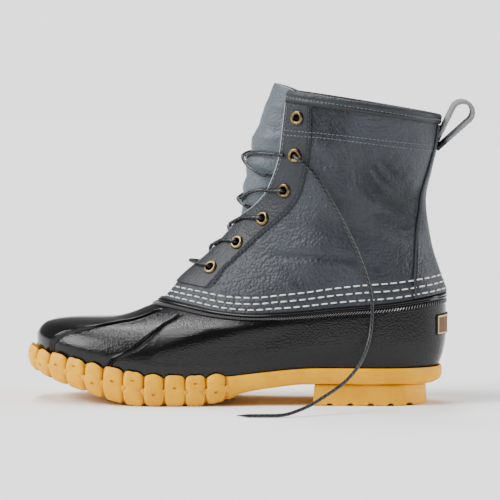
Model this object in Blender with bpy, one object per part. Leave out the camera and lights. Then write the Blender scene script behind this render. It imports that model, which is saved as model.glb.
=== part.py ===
"""Left winter boot: moulded rubber lower on a chain-tread sole, with a laced leather shaft.

The toe points to -X, the outer side of the foot is -Y, and the sole stands on Z = 0.
Sizes are in millimetres and become metres where a mesh is made.
"""

import math
from collections import namedtuple

import bmesh
import bpy
import numpy as np

for old in list(bpy.data.objects):
    bpy.data.objects.remove(old, do_unlink=True)

MM = 0.001

# The last: closed rings from the sole's edge (height 0) over the rubber's rim (1) to the collar (2).
# front and back are X; back_z to front_z are the ring's height at RING_STATIONS, from heel to toe;
# fore, mid and rear are half widths at WIDTH_STATIONS; the rounds are shares of the ring's length,
# and a front_power under 2 draws the ring's front to a ridge, as over the instep.
Ring = namedtuple(
    "Ring",
    "height front back back_z rear_z low_z front_z fore mid rear front_round front_power back_round",
)
RINGS = (
    Ring(-0.20, -142.7, 141.0, 17.7, 17.7, 9.9, 27.2, 43.8, 33.0, 30.5, 0.27, 2.15, 0.17),
    Ring(0.00, -146.0, 145.0, 27.0, 27.0, 19.2, 36.5, 46.5, 35.0, 32.5, 0.27, 2.15, 0.17),
    Ring(0.20, -146.0, 148.5, 37.0, 36.0, 28.5, 46.0, 49.0, 37.0, 34.5, 0.28, 2.15, 0.18),
    Ring(0.42, -139.0, 150.2, 48.0, 45.0, 37.0, 55.5, 48.5, 37.5, 35.5, 0.34, 2.15, 0.19),
    Ring(0.62, -119.0, 150.5, 58.0, 53.0, 45.5, 59.0, 46.5, 37.3, 35.8, 0.40, 2.10, 0.21),
    Ring(0.80, -91.0, 150.3, 68.0, 61.0, 54.0, 59.8, 43.0, 37.0, 35.5, 0.44, 2.00, 0.23),
    Ring(1.00, -56.0, 149.5, 79.5, 70.0, 64.0, 72.5, 38.0, 36.0, 34.5, 0.46, 1.75, 0.25),
    Ring(1.12, -40.0, 145.0, 93.0, 86.0, 82.0, 89.0, 37.0, 36.0, 33.8, 0.47, 1.50, 0.30),
    Ring(1.30, -16.0, 138.3, 115.0, 110.0, 108.0, 112.0, 36.5, 36.0, 33.0, 0.50, 1.40, 0.40),
    Ring(1.52, 4.0, 134.3, 145.0, 142.0, 141.0, 140.5, 36.5, 37.0, 34.0, 0.50, 1.50, 0.46),
    Ring(1.70, 12.5, 138.5, 167.0, 168.0, 170.0, 171.0, 38.5, 39.5, 37.0, 0.50, 1.70, 0.48),
    Ring(1.86, 20.0, 143.0, 187.0, 191.0, 196.0, 200.0, 41.0, 42.0, 40.0, 0.50, 1.85, 0.50),
    Ring(2.00, 28.0, 145.5, 206.0, 211.5, 218.0, 225.0, 43.0, 44.0, 42.5, 0.50, 2.00, 0.50),
    Ring(2.10, 33.5, 147.5, 218.0, 224.0, 231.5, 240.0, 44.0, 45.0, 43.5, 0.50, 2.00, 0.50),
)
RING_STATIONS = (0.0, 0.28, 0.62, 1.0)
WIDTH_STATIONS = (0.14, 0.42, 0.70)
HEEL_POWER = 2.2

# The foot's curve seen from above: how far the middle of the last lies towards the inner side.
CentreLine = namedtuple("CentreLine", "x y")
CENTRE_LINE = (
    CentreLine(-150.0, 9.0),
    CentreLine(-100.0, 4.5),
    CentreLine(-45.0, -0.5),
    CentreLine(15.0, -3.0),
    CentreLine(80.0, 0.0),
    CentreLine(150.0, 0.0),
)
STRAIGHT_FROM = 1.6

# Underside of the outsole along its length.
Under = namedtuple("Under", "x z")
UNDERSIDE = (
    Under(-152.0, 24.0),
    Under(-132.0, 17.0),
    Under(-112.0, 11.0),
    Under(-94.0, 5.8),
    Under(-76.0, 1.6),
    Under(-63.0, 0.0),
    Under(-30.0, 0.0),
    Under(-4.0, 4.0),
    Under(6.0, 8.5),
    Under(28.0, 12.5),
    Under(52.0, 15.0),
    Under(150.0, 15.0),
)

# Outer face of the outsole: overhang past the upper, from its top edge (depth 0) to its underside (1).
Edge = namedtuple("Edge", "depth tread band")
SOLE_EDGE = (
    Edge(0.0, 2.4, 1.8),
    Edge(0.22, 4.0, 2.6),
    Edge(0.5, 4.6, 2.6),
    Edge(0.78, 3.8, 1.2),
    Edge(1.0, 1.6, -3.6),
)
TOE_LIP = 2.4
TOE_LIP_START_X = -112.0
CUP_GAP = 0.4
CUP_FLOOR = -0.16
LINKS = 12
LINK_SHOULDER = 0.2
LINK_VALLEY = 2.2
LINK_NOTCH = 2.0
LINK_PEAK = 1.8
TREAD_END_X = -4.0
BAND_COLUMNS = 15

HEEL_BREAST_X = 57.0
HEEL_BACK_X = 137.0
HEEL_HALF_WIDTH = 31.0
HEEL_BREAST_HALF_WIDTH = 33.0
HEEL_TOP_INSET = 1.2
HEEL_CHAMFER = 1.0

PIECE_GAP = 0.3
INSOLE_THICKNESS = 3.5
INSOLE_MARGIN = 0.6

# Rubber lower: its wall, and the sewing flange that stands inside the leather.
RUBBER_WALL = 2.5
LEATHER_WALL = 2.2
FLANGE_WALL = 1.5
FLANGE_GAP = 1.1
FLANGE_TOP = 1.09
RIB_BAND = (0.865, 0.925)
RIM_BEAD = (0.935, 0.992)
RIB_BAND_RISE = 0.7
RIB_BAND_SLOPE = 0.01
RIM_BEAD_RISE = 1.5
RIM_BEAD_FOOT = 0.5
SHELL_ROWS = (-0.15, 0.0, 0.1, 0.2, 0.31, 0.42, 0.52, 0.62, 0.71, 0.8)
SHELL_INNER_ROWS = (0.95, 0.72, 0.46, 0.2, 0.0, -0.15)
RIDGE_RISE = 1.3
RIDGE_HALF_WIDTH = 1.7

# Raised seams of the rubber lower, by height: the turn of the slanting one and of the one round the toe.
Ridge = namedtuple("Ridge", "height slant moc")
RIDGES = (
    Ridge(0.00, 2.170, 2.700),
    Ridge(0.17, 2.150, 2.682),
    Ridge(0.34, 2.116, 2.626),
    Ridge(0.47, 2.106, 2.546),
    Ridge(0.59, 2.130, 2.477),
    Ridge(0.65, 2.151, 2.470),
    Ridge(0.73, 2.195, 2.522),
    Ridge(0.81, 2.258, 2.624),
    Ridge(0.88, 2.324, 2.705),
    Ridge(0.94, 2.368, 2.710),
    Ridge(1.00, 2.410, 2.690),
)

# Throat: distances from its middle, measured round the shaft at each height, to the edge of the opening,
# to the line of the eyelets and to the back edge of the eyestay.
Throat = namedtuple("Throat", "height half_gap eyelet stay")
THROAT = (
    Throat(1.13, 0.5, 19.5, 34.5),
    Throat(1.22, 2.5, 19.3, 30.5),
    Throat(1.36, 4.0, 22.0, 34.8),
    Throat(1.46, 6.5, 29.8, 44.0),
    Throat(1.52, 16.0, 35.0, 50.0),
    Throat(1.60, 26.0, 41.0, 54.5),
    Throat(1.74, 32.0, 45.2, 56.5),
    Throat(2.00, 28.5, 39.5, 50.0),
)
LEATHER_BOTTOM = 1.005
LEATHER_BAND_ROW = 1.06
LEATHER_TOP = 1.985

# Leather strips laid on the shaft, and the rows of the shaft that they share.
STRIP_GAP = 0.3
STRIP_WALL = 1.2
EYESTAY_FOOT = 1.095
EYESTAY_MIDDLE_GAP = 0.6
BINDING_FOOT = 1.95
BINDING_TOP = 2.0
BINDING_WALL = 1.1
BINDING_TOP_GAP = 0.005
STRIP_TOP = 1.944
SHAFT_ROWS = 10
SIDE_STEPS = (3, 6, 3)
Backstay = namedtuple("Backstay", "height half_width")
BACKSTAY = (
    Backstay(1.00, 38.0),
    Backstay(1.10, 33.5),
    Backstay(1.25, 24.5),
    Backstay(1.40, 18.0),
    Backstay(1.50, 13.0),
    Backstay(1.65, 11.0),
    Backstay(1.80, 9.0),
    Backstay(2.00, 8.5),
)

# Eyelets stand a pitch apart along their line; the lace's loose end leaves the fifth.
EYELETS = 6
EYELET_FIRST = 11.0
EYELET_PITCH = 26.6
EYELET_BORE_RADIUS = 2.2
EYELET_BARREL_RADIUS = 2.8
EYELET_FLANGE_RADIUS = 5.2
EYELET_FLANGE_RISE = 1.2
EYELET_ROLL = 0.7
EYELET_LIP_DROP = 0.3
EYELET_SEAT_GAP = 0.35
EYELET_SIDES = 8
PUNCH_RADIUS = 3.15
PUNCH_OVERRUN = 2.0
LACED_EYELETS = 5

LACE_RADIUS = 1.3
LACE_GAP = 0.35
LACE_TONGUE_GAP = 1.2
LACE_SIDES = 6
LACE_STEPS = 11
LACE_TUCK_GAP = 3.2
LACE_TUCK_SHARE = 0.4
LACE_PAST_MIDDLE = 0.8
LACE_EDGE_SHARE = 0.35
LACE_CLIMB_SHARE = 0.6

# Pull loop: a webbing teardrop that leans out from the backstay, each limb starting clear of it.
LOOP_WIDTH = 13.0
LOOP_THICKNESS = 2.0
LOOP_RADIUS = 7.5
LOOP_REACH = 32.0
LOOP_LEAN = math.radians(56.0)
LOOP_BASE = 1.83
LOOP_LIMB_GAP = 0.6
LOOP_STEPS = 12
LOOP_UPPER_START = 7.2
LOOP_LOWER_START = 0.8

LABEL_FOOT = 0.36
LABEL_TOP = 0.745
LABEL_ROWS = 5
LABEL_COLUMNS = 2
LABEL_GAP = 0.3
LABEL_WALL = 1.0

# Route of the lace's loose end, from the eyelet down the outer side and forward along the floor.
Route = namedtuple("Route", "x y z")
LACE_END = (
    Route(55.0, -41.5, 168.5),
    Route(69.0, -43.0, 148.0),
    Route(81.0, -42.5, 126.5),
    Route(91.0, -41.5, 104.5),
    Route(97.5, -42.0, 84.5),
    Route(99.5, -43.5, 69.5),
    Route(98.5, -47.5, 54.0),
    Route(94.0, -56.0, 37.5),
    Route(83.5, -70.0, 23.0),
    Route(69.0, -84.0, 13.0),
    Route(53.0, -96.0, 4.8),
    Route(38.5, -103.5, 1.4),
    Route(9.5, -106.5, 1.4),
)
LACE_END_STEP = 7.5

TONGUE_WALL = 2.0
TONGUE_BOTTOM = 1.15
TONGUE_TOP = 2.02
TONGUE_TUCK = 12.0
TONGUE_CLEARANCE = 0.8
TONGUE_BULGE = 8.5
TONGUE_EDGE_GAP = 2.0
TONGUE_CORNER_DROP = 0.07
TONGUE_TOP_CLEARANCE = 2.4
TONGUE_EASE = (1.80, 1.91)
TONGUE_BULGE_POWER = 1.5
TONGUE_ROWS = 13
TONGUE_COLUMNS = 11


def smooth(stations, values, at):
    """Values on a smooth curve through the stations that never overshoots them."""
    x = np.asarray(stations, float)
    y = np.asarray(values, float)
    at = np.clip(np.asarray(at, float), x[0], x[-1])
    step = np.diff(x)
    slope = np.diff(y) / step
    tangent = np.concatenate(([slope[0]], np.zeros(len(x) - 2), [slope[-1]]))
    for i in range(1, len(x) - 1):
        if slope[i - 1] * slope[i] > 0.0:
            before = 2.0 * step[i] + step[i - 1]
            after = step[i] + 2.0 * step[i - 1]
            tangent[i] = (before + after) / (before / slope[i - 1] + after / slope[i])
    i = np.clip(np.searchsorted(x, at) - 1, 0, len(step) - 1)
    u = (at - x[i]) / step[i]
    rise = y[i] * (1 + 2 * u) * (1 - u) ** 2 + y[i + 1] * u**2 * (3 - 2 * u)
    return rise + step[i] * (tangent[i] * u * (1 - u) ** 2 + tangent[i + 1] * u**2 * (u - 1))


def column(table, name):
    return [getattr(row, name) for row in table]


def ring_at(height):
    heights = column(RINGS, "height")
    return Ring(height, *(float(smooth(heights, column(RINGS, f), height)) for f in Ring._fields[1:]))


def end_round(share, length, power):
    """Half-width factor of a rounded end, 0 at the tip and 1 from its length on."""
    rest = 1.0 - np.clip(share / length, 0.0, 1.0)
    return (1.0 - rest**power) ** (1.0 / power)


def last(height, turn):
    """Points of the last at one height, at turns from the back (0) over the outer side to the toe (pi)."""
    ring = ring_at(height)
    turn = np.asarray(turn, float)
    share = (1.0 - np.cos(turn)) / 2.0
    x = ring.back + (ring.front - ring.back) * share
    half = smooth(WIDTH_STATIONS, (ring.rear, ring.mid, ring.fore), share)
    half = half * end_round(1.0 - share, ring.front_round, ring.front_power)
    half = half * end_round(share, ring.back_round, HEEL_POWER)
    swing = max(0.0, 1.0 - max(height, 0.0) / STRAIGHT_FROM)
    middle = swing * smooth(column(CENTRE_LINE, "x"), column(CENTRE_LINE, "y"), x)
    z = smooth(RING_STATIONS, (ring.back_z, ring.rear_z, ring.low_z, ring.front_z), share)
    return np.stack((x, middle - np.sign(np.sin(turn)) * half, z), axis=-1)


def skin(height, turn, depth=0.0):
    """Points at a depth outside the last (inside where negative), along the last's own normal."""
    step = 1e-3
    up = last(height + step, turn) - last(height - step, turn)
    turn = np.asarray(turn, float)
    around = last(height, turn + step) - last(height, turn - step)
    normal = np.cross(up, around)
    normal /= np.linalg.norm(normal, axis=-1, keepdims=True)
    return last(height, turn) + normal * np.asarray(depth, float)[..., None]


def turn_at_arc(height, distance, start):
    """Turn on the outer side at a distance round the ring from its start turn, 0 or pi."""
    turns = np.linspace(start, math.pi - start, 721)
    points = last(height, np.clip(turns, 1e-6, math.pi - 1e-6))
    arc = np.concatenate(([0.0], np.cumsum(np.linalg.norm(np.diff(points, axis=0), axis=1))))
    return float(np.interp(distance, arc, turns))


def spread(keys, counts):
    """Turns through the keys, with the given number of equal steps between each pair."""
    parts = [np.linspace(a, b, n, endpoint=False) for a, b, n in zip(keys, keys[1:], counts)]
    return np.concatenate(parts + [[keys[-1]]])


def add_mesh(name, points, faces, colour, roughness, metallic=0.0):
    mesh = bpy.data.meshes.new(name)
    body = bmesh.new()
    verts = [body.verts.new(tuple(float(c) * MM for c in p)) for p in points]
    for face in faces:
        corners = list(dict.fromkeys(face))
        if len(corners) > 2:
            body.faces.new([verts[k] for k in corners])
    loose = [v for v in body.verts if not v.link_faces]
    bmesh.ops.delete(body, geom=loose, context="VERTS")
    bmesh.ops.triangulate(body, faces=body.faces[:])
    bmesh.ops.recalc_face_normals(body, faces=body.faces[:])
    body.to_mesh(mesh)
    body.free()
    obj = bpy.data.objects.new(name, mesh)
    bpy.context.scene.collection.objects.link(obj)
    paint(obj, colour, roughness, metallic)
    return obj


def paint(obj, colour, roughness, metallic=0.0):
    material = bpy.data.materials.new(obj.name)
    material.use_nodes = True
    shader = material.node_tree.nodes["Principled BSDF"]
    shader.inputs["Base Color"].default_value = (*colour, 1.0)
    shader.inputs["Roughness"].default_value = roughness
    shader.inputs["Metallic"].default_value = metallic
    obj.data.materials.append(material)


def wall_mesh(outer, inner, joined_rows):
    """Closed wall between two grids; the first rows run all the way round, the rest stop at their ends."""
    rows, cols = outer.shape[:2]
    points = np.concatenate((outer.reshape(-1, 3), inner.reshape(-1, 3)))

    def at(side, i, j):
        if j == cols - 1 and i < joined_rows:
            j = 0
        return side * rows * cols + i * cols + j

    faces = []
    for i in range(rows - 1):
        for j in range(cols - 1):
            for side in (0, 1):
                faces.append((at(side, i, j), at(side, i, j + 1), at(side, i + 1, j + 1), at(side, i + 1, j)))
    for j in range(cols - 1):
        for i in (0, rows - 1):
            faces.append((at(0, i, j), at(0, i, j + 1), at(1, i, j + 1), at(1, i, j)))
    for i in range(max(joined_rows - 1, 0), rows - 1):
        for j in (0, cols - 1):
            faces.append((at(0, i, j), at(0, i + 1, j), at(1, i + 1, j), at(1, i, j)))
    return points, faces


def swept_mesh(sections, closed):
    """Solid through a row of closed sections, joined to a ring or capped at both ends."""
    count, size = sections.shape[:2]
    faces = []
    for k in range(count if closed else count - 1):
        for i in range(size):
            a, b = k * size, (k + 1) % count * size
            faces.append((a + i, a + (i + 1) % size, b + (i + 1) % size, b + i))
    if not closed:
        faces.append(tuple(range(size)))
        faces.append(tuple(range((count - 1) * size, count * size)))
    return sections.reshape(-1, 3), faces


def stacked_mesh(loops):
    """Solid through stacked loops that run from the back round both sides; its ends are crosswise strips."""
    count, size = loops.shape[:2]
    faces = []
    for k in range(count - 1):
        for i in range(size):
            a, b = k * size, (k + 1) * size
            faces.append((a + i, a + (i + 1) % size, b + (i + 1) % size, b + i))
    for base in (0, (count - 1) * size):
        for i in range(size // 2):
            faces.append((base + i, base + i + 1, base + (size - i - 1) % size, base + (size - i) % size))
    return loops.reshape(-1, 3), faces


def both_sides(turns):
    """Turns of the outer side, 0 to pi, carried on round the inner side."""
    return np.concatenate((turns, 2.0 * math.pi - turns[-2:0:-1]))


def cut(obj, tool, operation):
    """Boolean of a hidden tool into an object."""
    tool.hide_render = True
    tool.display_type = "WIRE"
    step = obj.modifiers.new(tool.name, "BOOLEAN")
    step.operation = operation
    step.solver = "EXACT"
    step.object = tool


GUM = (0.42, 0.21, 0.07)
BLACK_RUBBER = (0.012, 0.012, 0.014)
LEATHER = (0.10, 0.12, 0.15)
TONGUE_LEATHER = (0.19, 0.20, 0.22)
FOAM = (0.20, 0.18, 0.15)
WEBBING = (0.08, 0.085, 0.09)
LABEL = (0.16, 0.07, 0.03)
BRASS = (0.16, 0.10, 0.03)
LACE = (0.02, 0.02, 0.022)


def sole_columns():
    """Turns of the sole's columns on the outer side, back to toe, and what each one is on its link."""
    turns = np.linspace(math.pi, 0.0, 1441)
    edge = last(0.0, np.clip(turns, 1e-6, math.pi - 1e-6))
    arc = np.concatenate(([0.0], np.cumsum(np.linalg.norm(np.diff(edge[:, :2], axis=0), axis=1))))
    tread = float(np.interp(TREAD_END_X, edge[:, 0], arc))
    pitch = tread / (LINKS - 0.5)
    places = [0.0]
    kinds = ["link"]
    for k in range(LINKS):
        places += [(k + 0.5 - LINK_SHOULDER) * pitch, (k + 0.5) * pitch, (k + 0.5 + LINK_SHOULDER) * pitch]
        kinds += ["link", "valley", "link"]
    band = np.linspace(tread, arc[-1], BAND_COLUMNS + 1)[1:]
    kinds = np.array(kinds[:-1] + ["band"] * len(band))
    return np.interp(np.concatenate((places[:-1], band)), arc, turns)[::-1], kinds[::-1]


def make_outsole():
    half_turns, half_kinds = sole_columns()
    turns = both_sides(half_turns)
    kinds = np.concatenate((half_kinds, half_kinds[-2:0:-1]))
    top = last(0.0, turns)
    step = 1e-3
    along = last(0.0, turns + step) - last(0.0, turns - step)
    out = np.stack((-along[:, 1], along[:, 0], np.zeros(len(turns))), axis=-1)
    out /= np.linalg.norm(out, axis=1, keepdims=True)
    valley = kinds == "valley"
    lift = np.where(kinds == "link", LINK_PEAK, 0.0)
    toe_lip = TOE_LIP * np.clip((top[:, 0] - TOE_LIP_START_X) / (RINGS[1].front - TOE_LIP_START_X), 0.0, 1.0)
    loops = [skin(CUP_FLOOR, turns, CUP_GAP), skin(0.0, turns, CUP_GAP)]
    for edge in SOLE_EDGE:
        hang = np.where(kinds == "band", edge.band, edge.tread) - np.where(valley, LINK_VALLEY, 0.0)
        loop = top + out * (hang + toe_lip)[:, None]
        under = smooth(column(UNDERSIDE, "x"), column(UNDERSIDE, "z"), loop[:, 0])
        under = under + np.where(valley, LINK_NOTCH, 0.0)
        loop[:, 2] = (top[:, 2] + lift) * (1.0 - edge.depth) + under * edge.depth
        loops.append(loop)
    add_mesh("outsole", *stacked_mesh(np.array(loops)), GUM, 0.55)


def make_heel():
    """Block under the back of the outsole, straight across at its breast."""
    round_x = HEEL_BACK_X - HEEL_HALF_WIDTH
    arc = np.linspace(0.0, math.pi / 2, 8)
    x = np.concatenate((round_x + HEEL_HALF_WIDTH * np.cos(arc), [HEEL_BREAST_X]))
    y = np.concatenate((HEEL_HALF_WIDTH * np.sin(arc), [HEEL_BREAST_HALF_WIDTH]))
    outline = np.concatenate((np.stack((x, -y), 1), np.stack((x, y), 1)[:0:-1]))
    middle = np.array(((HEEL_BREAST_X + HEEL_BACK_X) / 2.0, 0.0))
    reach = np.linalg.norm(outline - middle, axis=1, keepdims=True)
    top = smooth(column(UNDERSIDE, "x"), column(UNDERSIDE, "z"), HEEL_BACK_X) - PIECE_GAP
    loops = []
    for z, inset in ((0.0, HEEL_CHAMFER), (HEEL_CHAMFER, 0.0), (float(top), HEEL_TOP_INSET)):
        flat = middle + (outline - middle) * (1.0 - inset / reach)
        loops.append(np.concatenate((flat, np.full((len(flat), 1), z)), axis=1))
    add_mesh("heel", *stacked_mesh(np.array(loops)), GUM, 0.6)


def make_insole():
    turns = both_sides(np.linspace(0.0, math.pi, 25))
    bottom = skin(CUP_FLOOR, turns, -RUBBER_WALL - INSOLE_MARGIN)
    bottom[:, 2] += PIECE_GAP
    top = bottom + np.array((0.0, 0.0, INSOLE_THICKNESS))
    add_mesh("insole", *stacked_mesh(np.array((bottom, top))), FOAM, 0.9)


def shell_turns(height):
    """Columns of the rubber lower at a height; three follow each raised ridge."""
    slant = smooth(column(RIDGES, "height"), column(RIDGES, "slant"), height)
    moc = smooth(column(RIDGES, "height"), column(RIDGES, "moc"), height)
    keys = [0.0]
    for ridge in (slant, moc):
        speed = np.linalg.norm(last(height, ridge + 1e-3) - last(height, ridge - 1e-3)) / 2e-3
        keys += [ridge - RIDGE_HALF_WIDTH / speed, ridge, ridge + RIDGE_HALF_WIDTH / speed]
    return both_sides(spread(keys + [math.pi], (13, 1, 1, 3, 1, 1, 3)))


RIDGE_COLUMNS = (14, 19)


def make_rubber_shell():
    seat = LEATHER_WALL + FLANGE_GAP
    profile = [(h, 0.0) for h in SHELL_ROWS]
    outside = len(profile)
    profile += [(RIB_BAND[0], 0.0), (RIB_BAND[0] + RIB_BAND_SLOPE, RIB_BAND_RISE), (RIB_BAND[1], RIB_BAND_RISE)]
    profile += [(RIM_BEAD[0], RIM_BEAD_FOOT), (sum(RIM_BEAD) / 2, RIM_BEAD_RISE), (RIM_BEAD[1], RIM_BEAD_FOOT)]
    profile += [(1.0, 0.0)]
    profile += [(1.0, -seat), (FLANGE_TOP, -seat), (FLANGE_TOP, -seat - FLANGE_WALL), (1.0, -seat - FLANGE_WALL)]
    profile += [(h, -RUBBER_WALL) for h in SHELL_INNER_ROWS]
    loops = []
    for k, (height, depth) in enumerate(profile):
        turns = shell_turns(height)
        depths = np.full(len(turns), depth)
        if 1 < k < outside:
            for c in RIDGE_COLUMNS:
                depths[[c, -c]] += RIDGE_RISE
        loops.append(skin(height, turns, depths))
    add_mesh("rubber_shell", *swept_mesh(np.array(loops).transpose(1, 0, 2), True), BLACK_RUBBER, 0.2)


def throat(name, height):
    """One of the throat's distances at a height."""
    return float(smooth(column(THROAT, "height"), column(THROAT, name), height))


def shaft_turns(height):
    """Columns of the leather at a height, from the outer edge of the throat round the back to the inner edge."""
    edge = math.pi
    if height > THROAT[0].height:
        edge = turn_at_arc(height, throat("half_gap", height), math.pi)
    stay = turn_at_arc(height, throat("stay", height), math.pi)
    back = turn_at_arc(height, smooth(column(BACKSTAY, "height"), column(BACKSTAY, "half_width"), height), 0.0)
    outer = spread((edge, stay, back, 0.0), SIDE_STEPS)
    return np.concatenate((outer, -outer[-2::-1]))


def shaft_heights():
    """Rows of the leather: below the throat, along it, and the edge inside the binding."""
    along_throat = np.linspace(THROAT[0].height, STRIP_TOP, SHAFT_ROWS)
    return [LEATHER_BOTTOM, LEATHER_BAND_ROW, EYESTAY_FOOT, *along_throat, LEATHER_TOP]


def layer(heights, columns, depth):
    """Grid over some rows and columns of the shaft at one depth."""
    rows = [skin(h, shaft_turns(h)[columns], np.full(len(shaft_turns(h)[columns]), depth)) for h in heights]
    return np.array(rows)


def make_leather_shaft(punch):
    heights = shaft_heights()
    whole = slice(None)
    joined = heights.index(THROAT[0].height) + 1
    grids = layer(heights, whole, 0.0), layer(heights, whole, -LEATHER_WALL)
    cut(add_mesh("leather_shaft", *wall_mesh(*grids, joined), LEATHER, 0.6), punch, "DIFFERENCE")


def make_strips(punch):
    """Eyestays and backstay: the shaft's own surface, raised over some of its rows and columns."""
    heights = [h for h in shaft_heights() if EYESTAY_FOOT <= h <= STRIP_TOP]
    for name, side in (("eyestay_lateral", 1), ("eyestay_medial", -1)):
        grids = []
        for depth in (STRIP_GAP, STRIP_GAP + STRIP_WALL):
            rows = []
            for h in heights:
                turns = shaft_turns(h)[: SIDE_STEPS[0] + 1].copy()
                turns[0] = min(turns[0], turn_at_arc(h, EYESTAY_MIDDLE_GAP, math.pi))
                rows.append(skin(h, side * turns, np.full(len(turns), depth)))
            grids.append(np.array(rows))
        cut(add_mesh(name, *wall_mesh(*grids, 0), LEATHER, 0.55), punch, "DIFFERENCE")
    heights = [h for h in shaft_heights() if h <= STRIP_TOP]
    middle = sum(SIDE_STEPS)
    columns = slice(middle - SIDE_STEPS[2], middle + SIDE_STEPS[2] + 1)
    grids = [layer(heights, columns, depth) for depth in (STRIP_GAP, STRIP_GAP + STRIP_WALL)]
    add_mesh("backstay", *wall_mesh(*grids, 0), LEATHER, 0.6)


def make_collar_binding():
    """Folded strip over the shaft's top edge: outer leg, top and inner leg as one section."""
    near, far = STRIP_GAP, STRIP_GAP + BINDING_WALL
    lip = LEATHER_TOP + BINDING_TOP_GAP
    shoulder = BINDING_TOP - BINDING_TOP_GAP
    section = [(BINDING_FOOT, near), (BINDING_FOOT, far), (shoulder, far), (BINDING_TOP, near)]
    section += [(BINDING_TOP, -LEATHER_WALL - near), (shoulder, -LEATHER_WALL - far)]
    section += [(BINDING_FOOT, -LEATHER_WALL - far), (BINDING_FOOT, -LEATHER_WALL - near)]
    section += [(lip, -LEATHER_WALL - near), (lip, near)]
    loops = [skin(h, shaft_turns(h), np.full(len(shaft_turns(h)), d)) for h, d in section]
    add_mesh("collar_binding", *swept_mesh(np.array(loops).transpose(1, 0, 2), False), LEATHER, 0.5)


def throat_point(height, across, depth):
    """Point at a distance across the throat from its middle, outer side positive, at a depth off the last."""
    turn = turn_at_arc(height, abs(across), math.pi) * (1.0 if across >= 0.0 else -1.0)
    return skin(height, np.array([turn]), np.array([depth]))[0]


def tongue_depth(height, across):
    """Depth of the tongue's outer face: under the leather at its sides, bulging out through the throat."""
    gap = throat("half_gap", height)
    inside = max(0.0, 1.0 - (across / max(gap - TONGUE_EDGE_GAP, 1.0)) ** 2)
    openness = gap / max(column(THROAT, "half_gap"))
    bulge = TONGUE_BULGE * (inside * openness) ** TONGUE_BULGE_POWER
    under_binding = (height - TONGUE_EASE[0]) / (TONGUE_EASE[1] - TONGUE_EASE[0])
    under_binding = min(max(under_binding, 0.0), 1.0)
    clearance = TONGUE_CLEARANCE + (TONGUE_TOP_CLEARANCE - TONGUE_CLEARANCE) * under_binding
    return bulge - LEATHER_WALL - clearance


def make_tongue():
    grids = [[], []]
    for share in np.linspace(0.0, 1.0, TONGUE_ROWS):
        rows = [[], []]
        for part in np.linspace(-1.0, 1.0, TONGUE_COLUMNS):
            height = TONGUE_BOTTOM + (TONGUE_TOP - TONGUE_CORNER_DROP * part**4 - TONGUE_BOTTOM) * share
            across = -(throat("half_gap", height) + TONGUE_TUCK) * part
            face = tongue_depth(height, across)
            rows[0].append(throat_point(height, across, face))
            rows[1].append(throat_point(height, across, face - TONGUE_WALL))
        grids[0].append(rows[0])
        grids[1].append(rows[1])
    add_mesh("tongue", *wall_mesh(np.array(grids[0]), np.array(grids[1]), 0), TONGUE_LEATHER, 0.6)


def eyelet_heights():
    """Height on the last of each eyelet, a pitch apart along the line of the eyelets."""
    heights = np.linspace(THROAT[0].height, BINDING_TOP, 120)
    line = np.array([throat_point(h, throat("eyelet", h), 0.0) for h in heights])
    arc = np.concatenate(([0.0], np.cumsum(np.linalg.norm(np.diff(line, axis=0), axis=1))))
    return [float(np.interp(EYELET_FIRST + k * EYELET_PITCH, arc, heights)) for k in range(EYELETS)]


def eyelet_axes(height, side):
    """Centre on the last, outward normal and two cross directions of one eyelet."""
    across = side * throat("eyelet", height)
    centre = throat_point(height, across, 0.0)
    normal = throat_point(height, across, 1.0) - centre
    along = np.cross(normal, (0.0, 1.0, 0.0))
    along /= np.linalg.norm(along)
    return centre, normal, along, np.cross(normal, along)


def turned(axes, profile, sides):
    """Sections of a round piece about an eyelet's axis, from (radius, rise) pairs."""
    centre, normal, along, across = axes
    sections = []
    for angle in np.arange(sides) * 2.0 * math.pi / sides:
        ray = along * math.cos(angle) + across * math.sin(angle)
        sections.append([centre + ray * radius + normal * rise for radius, rise in profile])
    return np.array(sections)


def make_punch(heights):
    """All the eyelet holes as one tool."""
    reach = LEATHER_WALL + STRIP_WALL + PUNCH_OVERRUN
    points, faces = [], []
    for side in (1, -1):
        for height in heights:
            rims = turned(eyelet_axes(height, side), ((PUNCH_RADIUS, -reach), (PUNCH_RADIUS, reach)), EYELET_SIDES)
            loop_points, loop_faces = swept_mesh(rims.transpose(1, 0, 2), False)
            faces += [tuple(k + len(points) for k in face) for face in loop_faces]
            points += list(loop_points)
    return add_mesh("eyelet_punch", points, faces, BRASS, 0.4)


def make_eyelets(heights):
    seat = STRIP_GAP + STRIP_WALL + EYELET_SEAT_GAP
    profile = (
        (EYELET_BORE_RADIUS, -LEATHER_WALL),
        (EYELET_BARREL_RADIUS, -LEATHER_WALL),
        (EYELET_BARREL_RADIUS, seat),
        (EYELET_FLANGE_RADIUS, seat),
        (EYELET_FLANGE_RADIUS - EYELET_ROLL, seat + EYELET_FLANGE_RISE),
        (EYELET_BORE_RADIUS, seat + EYELET_FLANGE_RISE - EYELET_LIP_DROP),
    )
    for name, side in (("lateral", 1), ("medial", -1)):
        for k, height in enumerate(heights, 1):
            sections = turned(eyelet_axes(height, side), profile, EYELET_SIDES)
            add_mesh(f"eyelet_{name}_{k}", *swept_mesh(sections, True), BRASS, 0.35, 1.0)


def tube(route, radius, sides):
    """Sections of a round cord along a route."""
    route = np.asarray(route, float)
    ahead = np.gradient(route, axis=0)
    ahead /= np.linalg.norm(ahead, axis=1, keepdims=True)
    rim = np.cross(ahead[0], (0.0, 0.0, 1.0))
    sections = []
    for point, way in zip(route, ahead):
        rim = rim - way * (rim @ way)
        rim /= np.linalg.norm(rim)
        other = np.cross(way, rim)
        angles = np.arange(sides) * 2.0 * math.pi / sides
        sections.append([point + radius * (rim * math.cos(a) + other * math.sin(a)) for a in angles])
    return np.array(sections)


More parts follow.
